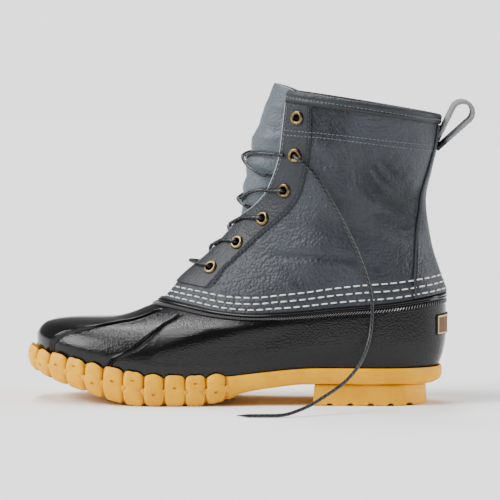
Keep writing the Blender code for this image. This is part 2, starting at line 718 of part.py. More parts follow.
def lace_route(start, end, side):
    """One strand from (height, across) to (height, across), lifted clear of what it crosses."""
    over_eyelet = STRIP_GAP + STRIP_WALL + EYELET_SEAT_GAP + EYELET_FLANGE_RISE + LACE_GAP + LACE_RADIUS
    over_edge = STRIP_GAP + STRIP_WALL + LACE_GAP + LACE_RADIUS
    route = []
    for share in np.linspace(0.0, 1.0, LACE_STEPS):
        height = start[0] + (end[0] - start[0]) * share
        across = start[1] + (end[1] - start[1]) * share
        gap = throat("half_gap", height)
        lift = tongue_depth(height, across) + LACE_RADIUS + LACE_TONGUE_GAP
        outside = (across - gap) / (throat("eyelet", height) - gap)
        if outside > -LACE_EDGE_SHARE:
            climb = min(max(outside / LACE_CLIMB_SHARE, 0.0), 1.0)
            lift = over_edge + (over_eyelet - over_edge) * climb
        route.append([height, across * side, lift])
    route = np.array(route)
    lifts = np.maximum(route[:, 2], np.convolve(np.pad(route[:, 2], 1, "edge"), (0.25, 0.5, 0.25), "valid"))
    return np.array([throat_point(h, a, lift) for (h, a, _), lift in zip(route, lifts)])


def make_lace(heights):
    """Bar across the first eyelets, then a crossing to each higher pair; the last one tucks under both edges."""
    first = heights[0]
    reach = throat("eyelet", first)
    over = STRIP_GAP + STRIP_WALL + EYELET_SEAT_GAP + EYELET_FLANGE_RISE + LACE_GAP + LACE_RADIUS
    bar = [throat_point(first, a, over) for a in np.linspace(reach, -reach, LACE_STEPS)]
    add_mesh("lace_bar_1", *swept_mesh(tube(bar, LACE_RADIUS, LACE_SIDES), False), LACE, 0.8)
    for k in range(1, LACED_EYELETS):
        low = heights[k - 1] + LACE_TUCK_SHARE * (heights[k] - heights[k - 1])
        top = heights[k]
        start = throat("eyelet", top)
        if k == LACED_EYELETS - 1:
            start = throat("half_gap", top) - LACE_TUCK_GAP
        end = -max(throat("half_gap", low) - LACE_TUCK_GAP, LACE_PAST_MIDDLE)
        strands = []
        for name, side in ((f"lace_cross_{k + 1}", 1), (f"lace_under_{k + 1}", -1)):
            route = lace_route((top, start), (low, end), side)
            strands.append(add_mesh(name, *swept_mesh(tube(route, LACE_RADIUS, LACE_SIDES), False), LACE, 0.8))
        cut(strands[0], strands[1], "UNION")


def curve_through(points, step):
    """Evenly spaced points on a smooth curve through hand-chosen ones."""
    points = np.asarray(points, float)
    knots = np.concatenate(([0.0], np.cumsum(np.linalg.norm(np.diff(points, axis=0), axis=1))))
    fine = np.linspace(0.0, knots[-1], 400)
    dense = np.stack([smooth(knots, points[:, c], fine) for c in range(3)], axis=1)
    arc = np.concatenate(([0.0], np.cumsum(np.linalg.norm(np.diff(dense, axis=0), axis=1))))
    places = np.linspace(0.0, arc[-1], int(round(arc[-1] / step)) + 1)
    return np.stack([np.interp(places, arc, dense[:, c]) for c in range(3)], axis=1)


def make_lace_end(heights):
    """Loose cord out of the fifth outer eyelet."""
    centre, normal, _, _ = eyelet_axes(heights[LACED_EYELETS - 1], 1)
    top = STRIP_GAP + STRIP_WALL + EYELET_SEAT_GAP + EYELET_FLANGE_RISE
    start = [centre + normal * (top + LACE_GAP), centre + normal * (top + LACE_GAP + LACE_RADIUS)]
    points = curve_through(start + [tuple(p) for p in LACE_END], LACE_END_STEP)
    curve = bpy.data.curves.new("lace_end", "CURVE")
    curve.dimensions = "3D"
    curve.bevel_depth = LACE_RADIUS * MM
    curve.bevel_resolution = 2
    curve.use_fill_caps = True
    spline = curve.splines.new("POLY")
    spline.points.add(len(points) - 1)
    for knot, point in zip(spline.points, points):
        knot.co = (*(float(c) * MM for c in point), 1.0)
    obj = bpy.data.objects.new("lace_end", curve)
    bpy.context.scene.collection.objects.link(obj)
    paint(obj, LACE, 0.8)


def make_pull_loop():
    base = skin(LOOP_BASE, np.array([0.0]), np.array([STRIP_GAP + STRIP_WALL]))[0][[0, 2]]
    lean = np.array((math.cos(LOOP_LEAN), math.sin(LOOP_LEAN)))
    lower = np.array((lean[1], -lean[0]))
    limb = LOOP_THICKNESS / 2.0 + LOOP_LIMB_GAP / 2.0
    centre = base + lean * LOOP_REACH
    past = math.asin((LOOP_RADIUS - limb) / LOOP_REACH)
    bend = np.linspace(-math.pi / 2.0 - past, math.pi / 2.0 + past, LOOP_STEPS)
    arc = [centre + LOOP_RADIUS * (lean * math.cos(a) - lower * math.sin(a)) for a in bend]
    first = base + lean * LOOP_LOWER_START + lower * limb
    final = base + lean * LOOP_UPPER_START - lower * limb
    path = np.array([first] + arc + [final])
    ahead = np.gradient(path, axis=0)
    ahead /= np.linalg.norm(ahead, axis=1, keepdims=True)
    halves = np.stack((ahead[:, 1], -ahead[:, 0]), axis=1) * LOOP_THICKNESS / 2.0
    edge = LOOP_WIDTH / 2.0
    sections = []
    for (x, z), (half_x, half_z) in zip(path, halves):
        corners = ((1, -edge), (1, edge), (-1, edge), (-1, -edge))
        sections.append([(x + face * half_x, y, z + face * half_z) for face, y in corners])
    add_mesh("pull_loop", *swept_mesh(np.array(sections), False), WEBBING, 0.85)


def make_heel_label():
    grids = []
    for depth in (LABEL_GAP, LABEL_GAP + LABEL_WALL):
        rows = []
        for height in np.linspace(LABEL_FOOT, LABEL_TOP, LABEL_ROWS):
            side = shell_turns(height)[: LABEL_COLUMNS + 1]
            turns = np.concatenate((side[::-1], -side[1:]))
            rows.append(skin(height, turns, np.full(len(turns), depth)))
        grids.append(np.array(rows))
    add_mesh("heel_label", *wall_mesh(*grids, 0), LABEL, 0.6)


def stand_on_origin(loose):
    """Hang every piece on one empty and put the middle of the boot's footprint over the origin."""
    boot = bpy.data.objects.new("winter_boot", None)
    bpy.context.scene.collection.objects.link(boot)
    pieces = [o for o in bpy.data.objects if o.type in ("MESH", "CURVE")]
    solid = [o for o in pieces if o.type == "MESH" and o.name not in loose and not o.hide_render]
    corners = [v.co for o in solid for v in o.data.vertices]
    for piece in pieces:
        piece.parent = boot
    for axis in (0, 1):
        places = [c[axis] for c in corners]
        boot.location[axis] = -(min(places) + max(places)) / 2.0


make_outsole()
make_heel()
make_insole()
make_rubber_shell()
eyelet_rows = eyelet_heights()
eyelet_punch = make_punch(eyelet_rows)
make_leather_shaft(eyelet_punch)
make_strips(eyelet_punch)
make_collar_binding()
make_tongue()
make_eyelets(eyelet_rows)
make_lace(eyelet_rows)
make_lace_end(eyelet_rows)
make_pull_loop()
make_heel_label()
stand_on_origin(loose=("lace_end",))
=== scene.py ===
"""Looks of the left winter boot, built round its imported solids.

Tables are in millimetres in the boot's own frame: toe to -X, outer side to -Y, floor at Z = 0.
"""

import math
from collections import namedtuple

import bmesh
import bpy
import numpy as np
from mathutils import Matrix, Vector


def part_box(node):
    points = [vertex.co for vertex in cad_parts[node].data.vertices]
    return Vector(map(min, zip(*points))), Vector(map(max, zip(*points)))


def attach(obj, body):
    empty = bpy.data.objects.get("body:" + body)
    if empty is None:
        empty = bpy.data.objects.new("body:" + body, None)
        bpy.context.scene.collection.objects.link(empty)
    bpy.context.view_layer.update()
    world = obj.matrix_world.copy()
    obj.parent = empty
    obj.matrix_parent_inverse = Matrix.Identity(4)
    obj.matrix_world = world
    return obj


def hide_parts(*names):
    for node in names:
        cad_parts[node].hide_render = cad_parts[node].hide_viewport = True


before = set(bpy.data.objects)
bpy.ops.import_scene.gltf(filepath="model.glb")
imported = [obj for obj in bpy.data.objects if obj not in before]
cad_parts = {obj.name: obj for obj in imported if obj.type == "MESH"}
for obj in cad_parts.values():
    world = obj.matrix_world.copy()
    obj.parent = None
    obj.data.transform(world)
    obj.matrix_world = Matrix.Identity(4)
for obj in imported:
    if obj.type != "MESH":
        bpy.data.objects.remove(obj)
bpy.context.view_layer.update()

MM = 0.001
FULL_TURN = 2.0 * math.pi
HEEL_BACK_X = 137.0
heel_low, heel_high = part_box("heel")
BOOT_SHIFT = np.array((heel_high.x / MM - HEEL_BACK_X, (heel_low.y + heel_high.y) / 2.0 / MM, 0.0))

# The last: closed rings from the sole's edge (height 0) over the rubber's rim (1) to the collar (2).
# front and back are X; back_z to front_z are the ring's height at RING_STATIONS, from heel to toe;
# fore, mid and rear are half widths at WIDTH_STATIONS; the rounds are shares of the ring's length.
Ring = namedtuple(
    "Ring",
    "height front back back_z rear_z low_z front_z fore mid rear front_round front_power back_round",
)
RINGS = (
    Ring(-0.20, -142.7, 141.0, 17.7, 17.7, 9.9, 27.2, 43.8, 33.0, 30.5, 0.27, 2.15, 0.17),
    Ring(0.00, -146.0, 145.0, 27.0, 27.0, 19.2, 36.5, 46.5, 35.0, 32.5, 0.27, 2.15, 0.17),
    Ring(0.20, -146.0, 148.5, 37.0, 36.0, 28.5, 46.0, 49.0, 37.0, 34.5, 0.28, 2.15, 0.18),
    Ring(0.42, -139.0, 150.2, 48.0, 45.0, 37.0, 55.5, 48.5, 37.5, 35.5, 0.34, 2.15, 0.19),
    Ring(0.62, -119.0, 150.5, 58.0, 53.0, 45.5, 59.0, 46.5, 37.3, 35.8, 0.40, 2.10, 0.21),
    Ring(0.80, -91.0, 150.3, 68.0, 61.0, 54.0, 59.8, 43.0, 37.0, 35.5, 0.44, 2.00, 0.23),
    Ring(1.00, -56.0, 149.5, 79.5, 70.0, 64.0, 72.5, 38.0, 36.0, 34.5, 0.46, 1.75, 0.25),
    Ring(1.12, -40.0, 145.0, 93.0, 86.0, 82.0, 89.0, 37.0, 36.0, 33.8, 0.47, 1.50, 0.30),
    Ring(1.30, -16.0, 138.3, 115.0, 110.0, 108.0, 112.0, 36.5, 36.0, 33.0, 0.50, 1.40, 0.40),
    Ring(1.52, 4.0, 134.3, 145.0, 142.0, 141.0, 140.5, 36.5, 37.0, 34.0, 0.50, 1.50, 0.46),
    Ring(1.70, 12.5, 138.5, 167.0, 168.0, 170.0, 171.0, 38.5, 39.5, 37.0, 0.50, 1.70, 0.48),
    Ring(1.86, 20.0, 143.0, 187.0, 191.0, 196.0, 200.0, 41.0, 42.0, 40.0, 0.50, 1.85, 0.50),
    Ring(2.00, 28.0, 145.5, 206.0, 211.5, 218.0, 225.0, 43.0, 44.0, 42.5, 0.50, 2.00, 0.50),
    Ring(2.10, 33.5, 147.5, 218.0, 224.0, 231.5, 240.0, 44.0, 45.0, 43.5, 0.50, 2.00, 0.50),
)
RING_STATIONS = (0.0, 0.28, 0.62, 1.0)
WIDTH_STATIONS = (0.14, 0.42, 0.70)
HEEL_POWER = 2.2

# The foot's curve seen from above: how far the middle of the last lies towards the inner side.
CentreLine = namedtuple("CentreLine", "x y")
CENTRE_LINE = (
    CentreLine(-150.0, 9.0),
    CentreLine(-100.0, 4.5),
    CentreLine(-45.0, -0.5),
    CentreLine(15.0, -3.0),
    CentreLine(80.0, 0.0),
    CentreLine(150.0, 0.0),
)
STRAIGHT_FROM = 1.6

# Underside of the outsole along its length.
Under = namedtuple("Under", "x z")
UNDERSIDE = (
    Under(-152.0, 24.0),
    Under(-132.0, 17.0),
    Under(-112.0, 11.0),
    Under(-94.0, 5.8),
    Under(-76.0, 1.6),
    Under(-63.0, 0.0),
    Under(-30.0, 0.0),
    Under(-4.0, 4.0),
    Under(6.0, 8.5),
    Under(28.0, 12.5),
    Under(52.0, 15.0),
    Under(150.0, 15.0),
)

# Outer face of the outsole: overhang past the upper, from its top edge (depth 0) to its underside (1).
Edge = namedtuple("Edge", "depth tread band")
SOLE_EDGE = (
    Edge(0.0, 2.4, 1.8),
    Edge(0.22, 4.0, 2.6),
    Edge(0.5, 4.6, 2.6),
    Edge(0.78, 3.8, 1.2),
    Edge(1.0, 1.6, -3.6),
)
TOE_LIP = 2.4
TOE_LIP_START_X = -112.0
CUP_GAP = 0.4
CUP_FLOOR = -0.16
LINKS = 12
LINK_VALLEY = 2.2
LINK_NOTCH = 1.6
LINK_PEAK = 2.8
TREAD_END_X = -4.0

# Throat: distances from its middle, measured round the shaft at each height, to the edge of the opening,
# to the line of the eyelets and to the back edge of the eyestay.
Throat = namedtuple("Throat", "height half_gap eyelet stay")
THROAT = (
    Throat(1.13, 0.5, 19.5, 34.5),
    Throat(1.22, 2.5, 19.3, 30.5),
    Throat(1.36, 4.0, 22.0, 34.8),
    Throat(1.46, 6.5, 29.8, 44.0),
    Throat(1.52, 16.0, 35.0, 50.0),
    Throat(1.60, 26.0, 41.0, 54.5),
    Throat(1.74, 32.0, 45.2, 56.5),
    Throat(2.00, 28.5, 39.5, 50.0),
)
RUBBER_WALL = 2.5
LEATHER_WALL = 2.2
LEATHER_BOTTOM = 1.005
LEATHER_TOP = 1.985
STRIP_GAP = 0.3
STRIP_WALL = 1.2
STRIP_FACE = STRIP_GAP + STRIP_WALL
STRIP_TOP = 1.944
EYESTAY_FOOT = 1.095
EYESTAY_MIDDLE_GAP = 0.6
BINDING_FOOT = 1.95
BINDING_TOP = 2.0
BINDING_WALL = 1.1
BINDING_SEAM = 1.9735
Backstay = namedtuple("Backstay", "height half_width")
BACKSTAY = (
    Backstay(1.00, 38.0),
    Backstay(1.10, 33.5),
    Backstay(1.25, 24.5),
    Backstay(1.40, 18.0),
    Backstay(1.50, 13.0),
    Backstay(1.65, 11.0),
    Backstay(1.80, 9.0),
    Backstay(2.00, 8.5),
)

EYELETS = 6
EYELET_FIRST = 11.0
EYELET_PITCH = 26.6
EYELET_BORE_RADIUS = 2.2
EYELET_BARREL_RADIUS = 2.8
EYELET_FLANGE_RADIUS = 5.2
EYELET_FLANGE_RISE = 1.2
EYELET_SEAT_GAP = 0.35
EYELET_SIDES = 48
LACED_EYELETS = 5
LACE_RADIUS = 1.3
LACE_GAP = 0.35

# Route of the lace's loose end, from the eyelet down the outer side and forward along the floor.
Route = namedtuple("Route", "x y z")
LACE_END = (
    Route(55.0, -41.5, 168.5),
    Route(69.0, -43.0, 148.0),
    Route(81.0, -42.5, 126.5),
    Route(91.0, -41.5, 104.5),
    Route(97.5, -42.0, 84.5),
    Route(99.5, -43.5, 69.5),
    Route(98.5, -47.5, 54.0),
    Route(94.0, -56.0, 37.5),
    Route(83.5, -70.0, 23.0),
    Route(69.0, -84.0, 13.0),
    Route(53.0, -96.0, 4.8),
    Route(38.5, -103.5, 1.4),
    Route(9.5, -106.5, 1.4),
)

TONGUE_WALL = 2.0
TONGUE_BOTTOM = 1.15
TONGUE_TOP = 2.02
TONGUE_TUCK = 12.0
TONGUE_CLEARANCE = 0.8
TONGUE_BULGE = 8.5
TONGUE_EDGE_GAP = 2.0
TONGUE_CORNER_DROP = 0.07
TONGUE_TOP_CLEARANCE = 2.4
TONGUE_EASE = (1.80, 1.91)
TONGUE_BULGE_POWER = 1.5


# Shapes of the last


def smooth(stations, values, at):
    """Smooth curve through values at stations that never passes them; each value may be an array like at."""
    at = np.clip(np.asarray(at, float), stations[0], stations[-1])
    values = [np.asarray(v, float) + 0.0 * at for v in values]
    steps = np.diff(stations)
    slopes = [(b - a) / s for a, b, s in zip(values, values[1:], steps)]
    tangents = [slopes[0]]
    for k in range(1, len(slopes)):
        before = 2.0 * steps[k] + steps[k - 1]
        after = steps[k] + 2.0 * steps[k - 1]
        same = slopes[k - 1] * slopes[k] > 0.0
        low = np.where(same, slopes[k - 1], 1.0)
        high = np.where(same, slopes[k], 1.0)
        tangents.append(np.where(same, (before + after) / (before / low + after / high), 0.0))
    tangents.append(slopes[-1])
    result = values[0]
    for k, step in enumerate(steps):
        u = (at - stations[k]) / step
        curve = values[k] * (1 + 2 * u) * (1 - u) ** 2 + values[k + 1] * u**2 * (3 - 2 * u)
        curve = curve + step * (tangents[k] * u * (1 - u) ** 2 + tangents[k + 1] * u**2 * (u - 1))
        result = np.where(at >= stations[k], curve, result)
    return result


def column(table, name):
    return [getattr(row, name) for row in table]


def along_table(table, key, name, at):
    """Smooth value of one column of a table at places along its key column."""
    return smooth(column(table, key), column(table, name), at)


def ease(value, start, end):
    """0 up to start, 1 from end on, with a soft step between them."""
    share = np.clip((np.asarray(value, float) - start) / (end - start), 0.0, 1.0)
    return share * share * (3.0 - 2.0 * share)


def end_round(share, length, power):
    """Half-width factor of a rounded end, 0 at the tip and 1 from its length on."""
    rest = 1.0 - np.clip(share / length, 0.0, 1.0)
    return (1.0 - rest**power) ** (1.0 / power)


FINE_HEIGHTS = np.linspace(RINGS[0].height, RINGS[-1].height, 9201)
FINE_RINGS = {f: along_table(RINGS, "height", f, FINE_HEIGHTS) for f in Ring._fields[1:]}


def ring_at(height):
    """Ring sizes at each of an array of heights."""
    return Ring(height, *(np.interp(height, FINE_HEIGHTS, values) for values in FINE_RINGS.values()))


def last(height, turn):
    """Points of the last at turns from the back (0) over the outer side to the toe (pi)."""
    height, turn = np.broadcast_arrays(np.asarray(height, float), np.asarray(turn, float))
    ring = ring_at(height)
    share = (1.0 - np.cos(turn)) / 2.0
    x = ring.back + (ring.front - ring.back) * share
    half = smooth(WIDTH_STATIONS, (ring.rear, ring.mid, ring.fore), share)
    half = half * end_round(1.0 - share, ring.front_round, ring.front_power)
    half = half * end_round(share, ring.back_round, HEEL_POWER)
    swing = np.clip(1.0 - np.maximum(height, 0.0) / STRAIGHT_FROM, 0.0, None)
    middle = swing * along_table(CENTRE_LINE, "x", "y", x)
    z = smooth(RING_STATIONS, (ring.back_z, ring.rear_z, ring.low_z, ring.front_z), share)
    return np.stack((x, middle - np.sign(np.sin(turn)) * half, z), axis=-1)


def normal_at(height, turn):
    """Outward normal of the last."""
    step = 1e-3
    height, turn = np.broadcast_arrays(np.asarray(height, float), np.asarray(turn, float))
    up = last(height + step, turn) - last(height - step, turn)
    around = last(height, turn + step) - last(height, turn - step)
    normal = np.cross(up, around)
    return normal / np.linalg.norm(normal, axis=-1, keepdims=True)


def skin(height, turn, depth):
    """Points at a depth outside the last (inside where negative), along the last's own normal."""
    return last(height, turn) + normal_at(height, turn) * np.asarray(depth, float)[..., None]


def signed(turns):
    """Turns, with those past the toe as negative ones on the inner side."""
    return np.where(turns > math.pi, turns - FULL_TURN, turns)


def arc_along(points):
    return np.concatenate(([0.0], np.cumsum(np.linalg.norm(np.diff(points, axis=0), axis=1))))


def turn_at_arc(height, distance, start):
    """Turn on the outer side at a distance round the ring from its start turn, 0 or pi."""
    turns = np.linspace(start, math.pi - start, 721)
    points = last(height, np.clip(turns, 1e-6, math.pi - 1e-6))
    return np.interp(distance, arc_along(points), turns)


def throat(name, height):
    """One of the throat's distances at a height."""
    return along_table(THROAT, "height", name, height)


def throat_turn(height, across):
    """Turn at a distance across the throat from its middle, outer side positive."""
    return float(turn_at_arc(height, abs(across), math.pi)) * (1.0 if across >= 0.0 else -1.0)


def throat_point(height, across, depth):
    """Point at a distance across the throat from its middle, outer side positive, at a depth off the last."""
    return skin(np.array([height]), np.array([throat_turn(height, across)]), np.array([depth]))[0]


def backstay_turn(height):
    return turn_at_arc(height, along_table(BACKSTAY, "height", "half_width", height), 0.0)


# Meshes


def place(points):
    """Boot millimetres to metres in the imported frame."""
    return (np.asarray(points, float) + BOOT_SHIFT) * MM


def quads(rows, columns, wrap_rows=False, wrap_columns=False, flip=False):
    """Faces of a grid of points numbered row by row."""
    r = np.arange(rows if wrap_rows else rows - 1)
    c = np.arange(columns if wrap_columns else columns - 1)
    r, c = np.meshgrid(r, c, indexing="ij")
    down = (r + 1) % rows
    right = (c + 1) % columns
    corners = [r * columns + c, r * columns + right, down * columns + right, down * columns + c]
    faces = np.stack(corners[::-1] if flip else corners, axis=-1)
    return faces.reshape(-1, 4)


class Build:
    """Points, faces and a painted tone that become one piece."""

    def __init__(self):
        self.points = []
        self.faces = []
        self.tones = []
        self.count = 0

    def add(self, points, faces, tone=0.0):
        points = np.asarray(points, float).reshape(-1, 3)
        self.points.append(points)
        self.tones.append(np.broadcast_to(np.asarray(tone, float).reshape(-1), (len(points),)))
        self.faces.append(np.asarray(faces) + self.count)
        self.count += len(points)

    def grid(self, points, tone=0.0, wrap_rows=False, wrap_columns=False, flip=False):
        rows, columns = points.shape[:2]
        if np.ndim(tone):
            tone = np.broadcast_to(tone, (rows, columns))
        self.add(points, quads(rows, columns, wrap_rows, wrap_columns, flip), tone)

    def cap(self, ring, centre):
        """Fan of faces from a ring of points to a centre."""
        count = len(ring)
        k = np.arange(count)
        faces = np.stack((k, (k + 1) % count, np.full(count, count), k), axis=1)
        self.add(np.concatenate((ring, [centre])), faces)

    def piece(self, name, finish, slot=None, replaces=(), sharp=40.0, weld=0.0):
        points = place(np.concatenate(self.points))
        faces = []
        for block in self.faces:
            for face in block.tolist():
                corners = list(dict.fromkeys(face))
                if len(corners) > 2:
                    faces.append(corners)
        mesh = bpy.data.meshes.new(name)
        mesh.from_pydata(points.tolist(), [], faces)
        mesh.validate()
        tone = mesh.attributes.new("tone", "FLOAT", "POINT")
        tone.data.foreach_set("value", np.concatenate(self.tones).astype(np.float32))
        obj = bpy.data.objects.new(name, mesh)
        bpy.context.scene.collection.objects.link(obj)
        tidy(mesh, weld)
        mesh.shade_smooth()
        mesh.set_sharp_from_angle(angle=math.radians(sharp))
        mesh.materials.append(finish)
        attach(obj, "root")
        if replaces:
            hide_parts(*replaces)
        return obj


def tidy(mesh, weld):
    """Joins points that lie together and turns every face outwards."""
    body = bmesh.new()
    body.from_mesh(mesh)
    if weld > 0.0:
        bmesh.ops.remove_doubles(body, verts=body.verts[:], dist=weld * MM)
    bmesh.ops.recalc_face_normals(body, faces=body.faces[:])
    body.to_mesh(mesh)
    body.free()


def wall(build, outer, inner, outer_tone=0.0, inner_tone=0.0, keep=None):
    """Closed wall between two like grids; keep marks the faces that stay, so that holes are lined as well."""
    rows, columns = outer.shape[:2]
    count = rows * columns
    faces = quads(rows, columns)
    if keep is not None:
        faces = faces[keep.reshape(-1)]
    tones = [np.broadcast_to(t, (rows, columns)).reshape(-1) for t in (outer_tone, inner_tone)]
    points = np.concatenate((outer.reshape(-1, 3), inner.reshape(-1, 3)))
    edges = np.concatenate([faces[:, [k, (k + 1) % 4]] for k in range(4)])
    key = np.sort(edges, axis=1)
    _, index, uses = np.unique(key[:, 0] * count + key[:, 1], return_index=True, return_counts=True)
    rim = edges[index[uses == 1]]
    start = build.count
    build.add(points, faces, np.concatenate(tones))
    build.faces.append(faces[:, ::-1] + start + count)
    build.faces.append(np.stack((rim[:, 1], rim[:, 0], rim[:, 0] + count, rim[:, 1] + count), axis=1) + start)


def face_middles(grid):
    """Mean of the four corners of each face of a grid."""
    return (grid[:-1, :-1] + grid[1:, :-1] + grid[:-1, 1:] + grid[1:, 1:]) / 4.0


def between(first, second, count):
    """Evenly spaced lines from one line of points to another."""
    return np.array([first * (1.0 - a) + second * a for a in np.linspace(0.0, 1.0, count)])


def frames_along(route):
    """Direction, side and up vectors along a route, without twist."""
    route = np.asarray(route, float)
    ahead = np.gradient(route, axis=0)
    ahead /= np.linalg.norm(ahead, axis=1, keepdims=True)
    side = np.cross(ahead[0], (0.0, 0.0, 1.0))
    if np.linalg.norm(side) < 1e-3:
        side = np.cross(ahead[0], (0.0, 1.0, 0.0))
    sides = []
    for way in ahead:
        side = side - way * (side @ way)
        side = side / np.linalg.norm(side)
        sides.append(side)
    sides = np.array(sides)
    return ahead, sides, np.cross(ahead, sides)


def resample(points, step):
    """Evenly spaced points along a fine line."""
    arc = arc_along(points)
    places = np.linspace(0.0, arc[-1], max(int(round(arc[-1] / step)), 2) + 1)
    return np.stack([np.interp(places, arc, points[:, c]) for c in range(3)], axis=1)


def curve_through(points, step):
    """Evenly spaced points on a smooth curve through given ones."""
    points = np.asarray(points, float)
    knots = arc_along(points)
    fine = np.linspace(0.0, knots[-1], 900)
    return resample(np.stack([smooth(knots, points[:, c], fine) for c in range(3)], axis=1), step)


# Camera and light

CAMERA_AZIMUTH = math.radians(5.0)
CAMERA_DISTANCE = 2.0
CAMERA_HEIGHT = 0.23
CAMERA_TARGET = Vector((0.0094, 0.0, 0.1085)) + Vector(BOOT_SHIFT * MM)
CAMERA_LENS = 200.0
CAMERA_SENSOR = 36.0


def make_camera():
    data = bpy.data.cameras.new("camera")
    data.lens = CAMERA_LENS
    data.sensor_width = CAMERA_SENSOR
    camera = bpy.data.objects.new("camera", data)
    bpy.context.scene.collection.objects.link(camera)
    rise = math.asin((CAMERA_HEIGHT - CAMERA_TARGET.z) / CAMERA_DISTANCE)
    back = Vector((
        math.sin(CAMERA_AZIMUTH) * math.cos(rise),
        -math.cos(CAMERA_AZIMUTH) * math.cos(rise),
        math.sin(rise),
    ))
    turn = (-back).to_track_quat("-Z", "Y").to_matrix().to_4x4()
    camera.matrix_world = Matrix.Translation(CAMERA_TARGET + back * CAMERA_DISTANCE) @ turn
    bpy.context.scene.camera = camera


def add_sun(name, toward, strength, spread_angle):
    """Broad soft light from far off, so that the floor is lit evenly."""
    data = bpy.data.lights.new(name, "SUN")
    data.energy = strength
    data.angle = math.radians(spread_angle)
    lamp = bpy.data.objects.new(name, data)
    bpy.context.scene.collection.objects.link(lamp)
    lamp.matrix_world = (-Vector(toward)).to_track_quat("-Z", "Y").to_matrix().to_4x4()


# Finishes


class Wire:
    """One output of a node; sums on wires add Math nodes."""

    def __init__(self, finish, socket):
        self.finish = finish
        self.socket = socket

    def sum(self, operation, first, second):
        return self.finish.node("ShaderNodeMath", {"operation": operation}, {0: first, 1: second})

    def __add__(self, other):
        return self.sum("ADD", self, other)

    def __radd__(self, other):
        return self.sum("ADD", other, self)

    def __sub__(self, other):
        return self.sum("SUBTRACT", self, other)

    def __rsub__(self, other):
        return self.sum("SUBTRACT", other, self)

    def __mul__(self, other):
        return self.sum("MULTIPLY", self, other)

    def __rmul__(self, other):
        return self.sum("MULTIPLY", other, self)

    def __pow__(self, other):
        return self.sum("POWER", self, other)

    def fold(self):
        """Distance from the middle of a noise, 0 along its creases and 1 far from them."""
        half = self - 0.5
        return self.finish.node("ShaderNodeMath", {"operation": "ABSOLUTE"}, {0: half}) * 2.0

    def step(self, low, high):
        """0 below low and 1 above high, with a soft step between."""
        settings = {"interpolation_type": "SMOOTHSTEP"}
        sockets = {"Value": self, "From Min": low, "From Max": high}
        return self.finish.node("ShaderNodeMapRange", settings, sockets)


class Finish:
    """One material; node adds a node with its settings and sockets."""

    def __init__(self, name, **constants):
        self.material = bpy.data.materials.new(name)
        self.material.use_nodes = True
        self.tree = self.material.node_tree
        self.shader = self.tree.nodes["Principled BSDF"]
        for socket, value in constants.items():
            self.shader.inputs[socket.replace("_", " ")].default_value = value
        self.place = self.node("ShaderNodeTexCoord", {}, {}, "Object")
        self.tone = self.node("ShaderNodeAttribute", {"attribute_name": "tone"}, {}, "Fac")

    def node(self, kind, settings, sockets, output=0):
        node = self.tree.nodes.new(kind)
        for name, value in settings.items():
            setattr(node, name, value)
        for name, value in sockets.items():
            if isinstance(value, Wire):
                self.tree.links.new(value.socket, node.inputs[name])
            else:
                node.inputs[name].default_value = value
        return Wire(self, node.outputs[output])

    def noise(self, scale, detail=4.0, rough=0.5, place_at=None, distortion=0.0):
        values = {"Vector": place_at or self.place, "Scale": scale, "Detail": detail, "Roughness": rough}
        return self.node("ShaderNodeTexNoise", {}, {**values, "Distortion": distortion}, "Fac")

    def cells(self, scale, feature="F1", place_at=None, smoothness=None):
        values = {"Vector": place_at or self.place, "Scale": scale}
        if smoothness is not None:
            values["Smoothness"] = smoothness
        return self.node("ShaderNodeTexVoronoi", {"feature": feature}, values, "Distance")

    def vector(self, operation, first, second, output=0):
        return self.node("ShaderNodeVectorMath", {"operation": operation}, {0: first, 1: second}, output)

    def near(self, spot):
        """1 at a spot on either side of the boot, falling to 0 at its reach."""
        flat = self.vector("MULTIPLY", self.place, (1.0, 0.0, 1.0))
        middle = place((spot.x, 0.0, spot.z)) * (1.0, 0.0, 1.0)
        gap = self.vector("DISTANCE", flat, tuple(middle), "Value")
        return 1.0 - gap.step(spot.reach * MM * 0.25, spot.reach * MM)

    def slanted(self, slant):
        """The place on the piece, drawn out along a slanting line."""
        sockets = {"Vector": self.place, "Angle": slant}
        turned = self.node("ShaderNodeVectorRotate", {"rotation_type": "Y_AXIS"}, sockets)
        return self.vector("MULTIPLY", turned, (1.0, 1.0, 0.3))

    def mix(self, share, first, second):
        first, second = [c if isinstance(c, Wire) else (*c, 1.0) for c in (first, second)]
        sockets = {"Factor": share, 6: first, 7: second}
        return self.node("ShaderNodeMix", {"data_type": "RGBA"}, sockets, 2)

    def bump(self, height, strength, distance):
        sockets = {"Height": height, "Strength": strength, "Distance": distance}
        return self.node("ShaderNodeBump", {}, sockets)

    def set(self, **wires):
        for name, wire in wires.items():
            self.tree.links.new(wire.socket, self.shader.inputs[name.replace("_", " ")])
        return self.material


def srgb(red, green, blue):
    """Screen colour to the light it stands for."""
    values = [c / 255.0 for c in (red, green, blue)]
    return tuple(c / 12.92 if c <= 0.04045 else ((c + 0.055) / 1.055) ** 2.4 for c in values)


def gum_finish():
    f = Finish("gum_rubber", IOR=1.5, Specular_IOR_Level=0.2)
    cloud = f.noise(55.0, 4.0, 0.6)
    speck = f.noise(900.0, 3.0, 0.6)
    colour = f.mix(cloud.step(0.3, 0.7), srgb(222, 154, 0), srgb(236, 172, 10))
    # Tone paints shade into the hollows, marks and nicks and onto hidden and downward faces.
    colour = f.mix(f.tone * 0.75, colour, srgb(158, 94, 12))
    colour = f.mix(speck.step(0.62, 0.8) * 0.25, colour, srgb(196, 124, 20))
    rough = 0.4 + cloud * 0.2
    normal = f.bump(speck * 0.5 + f.noise(260.0, 3.0) * 0.5, 0.3, 0.0005)
    return f.set(Base_Color=colour, Roughness=rough, Normal=normal)


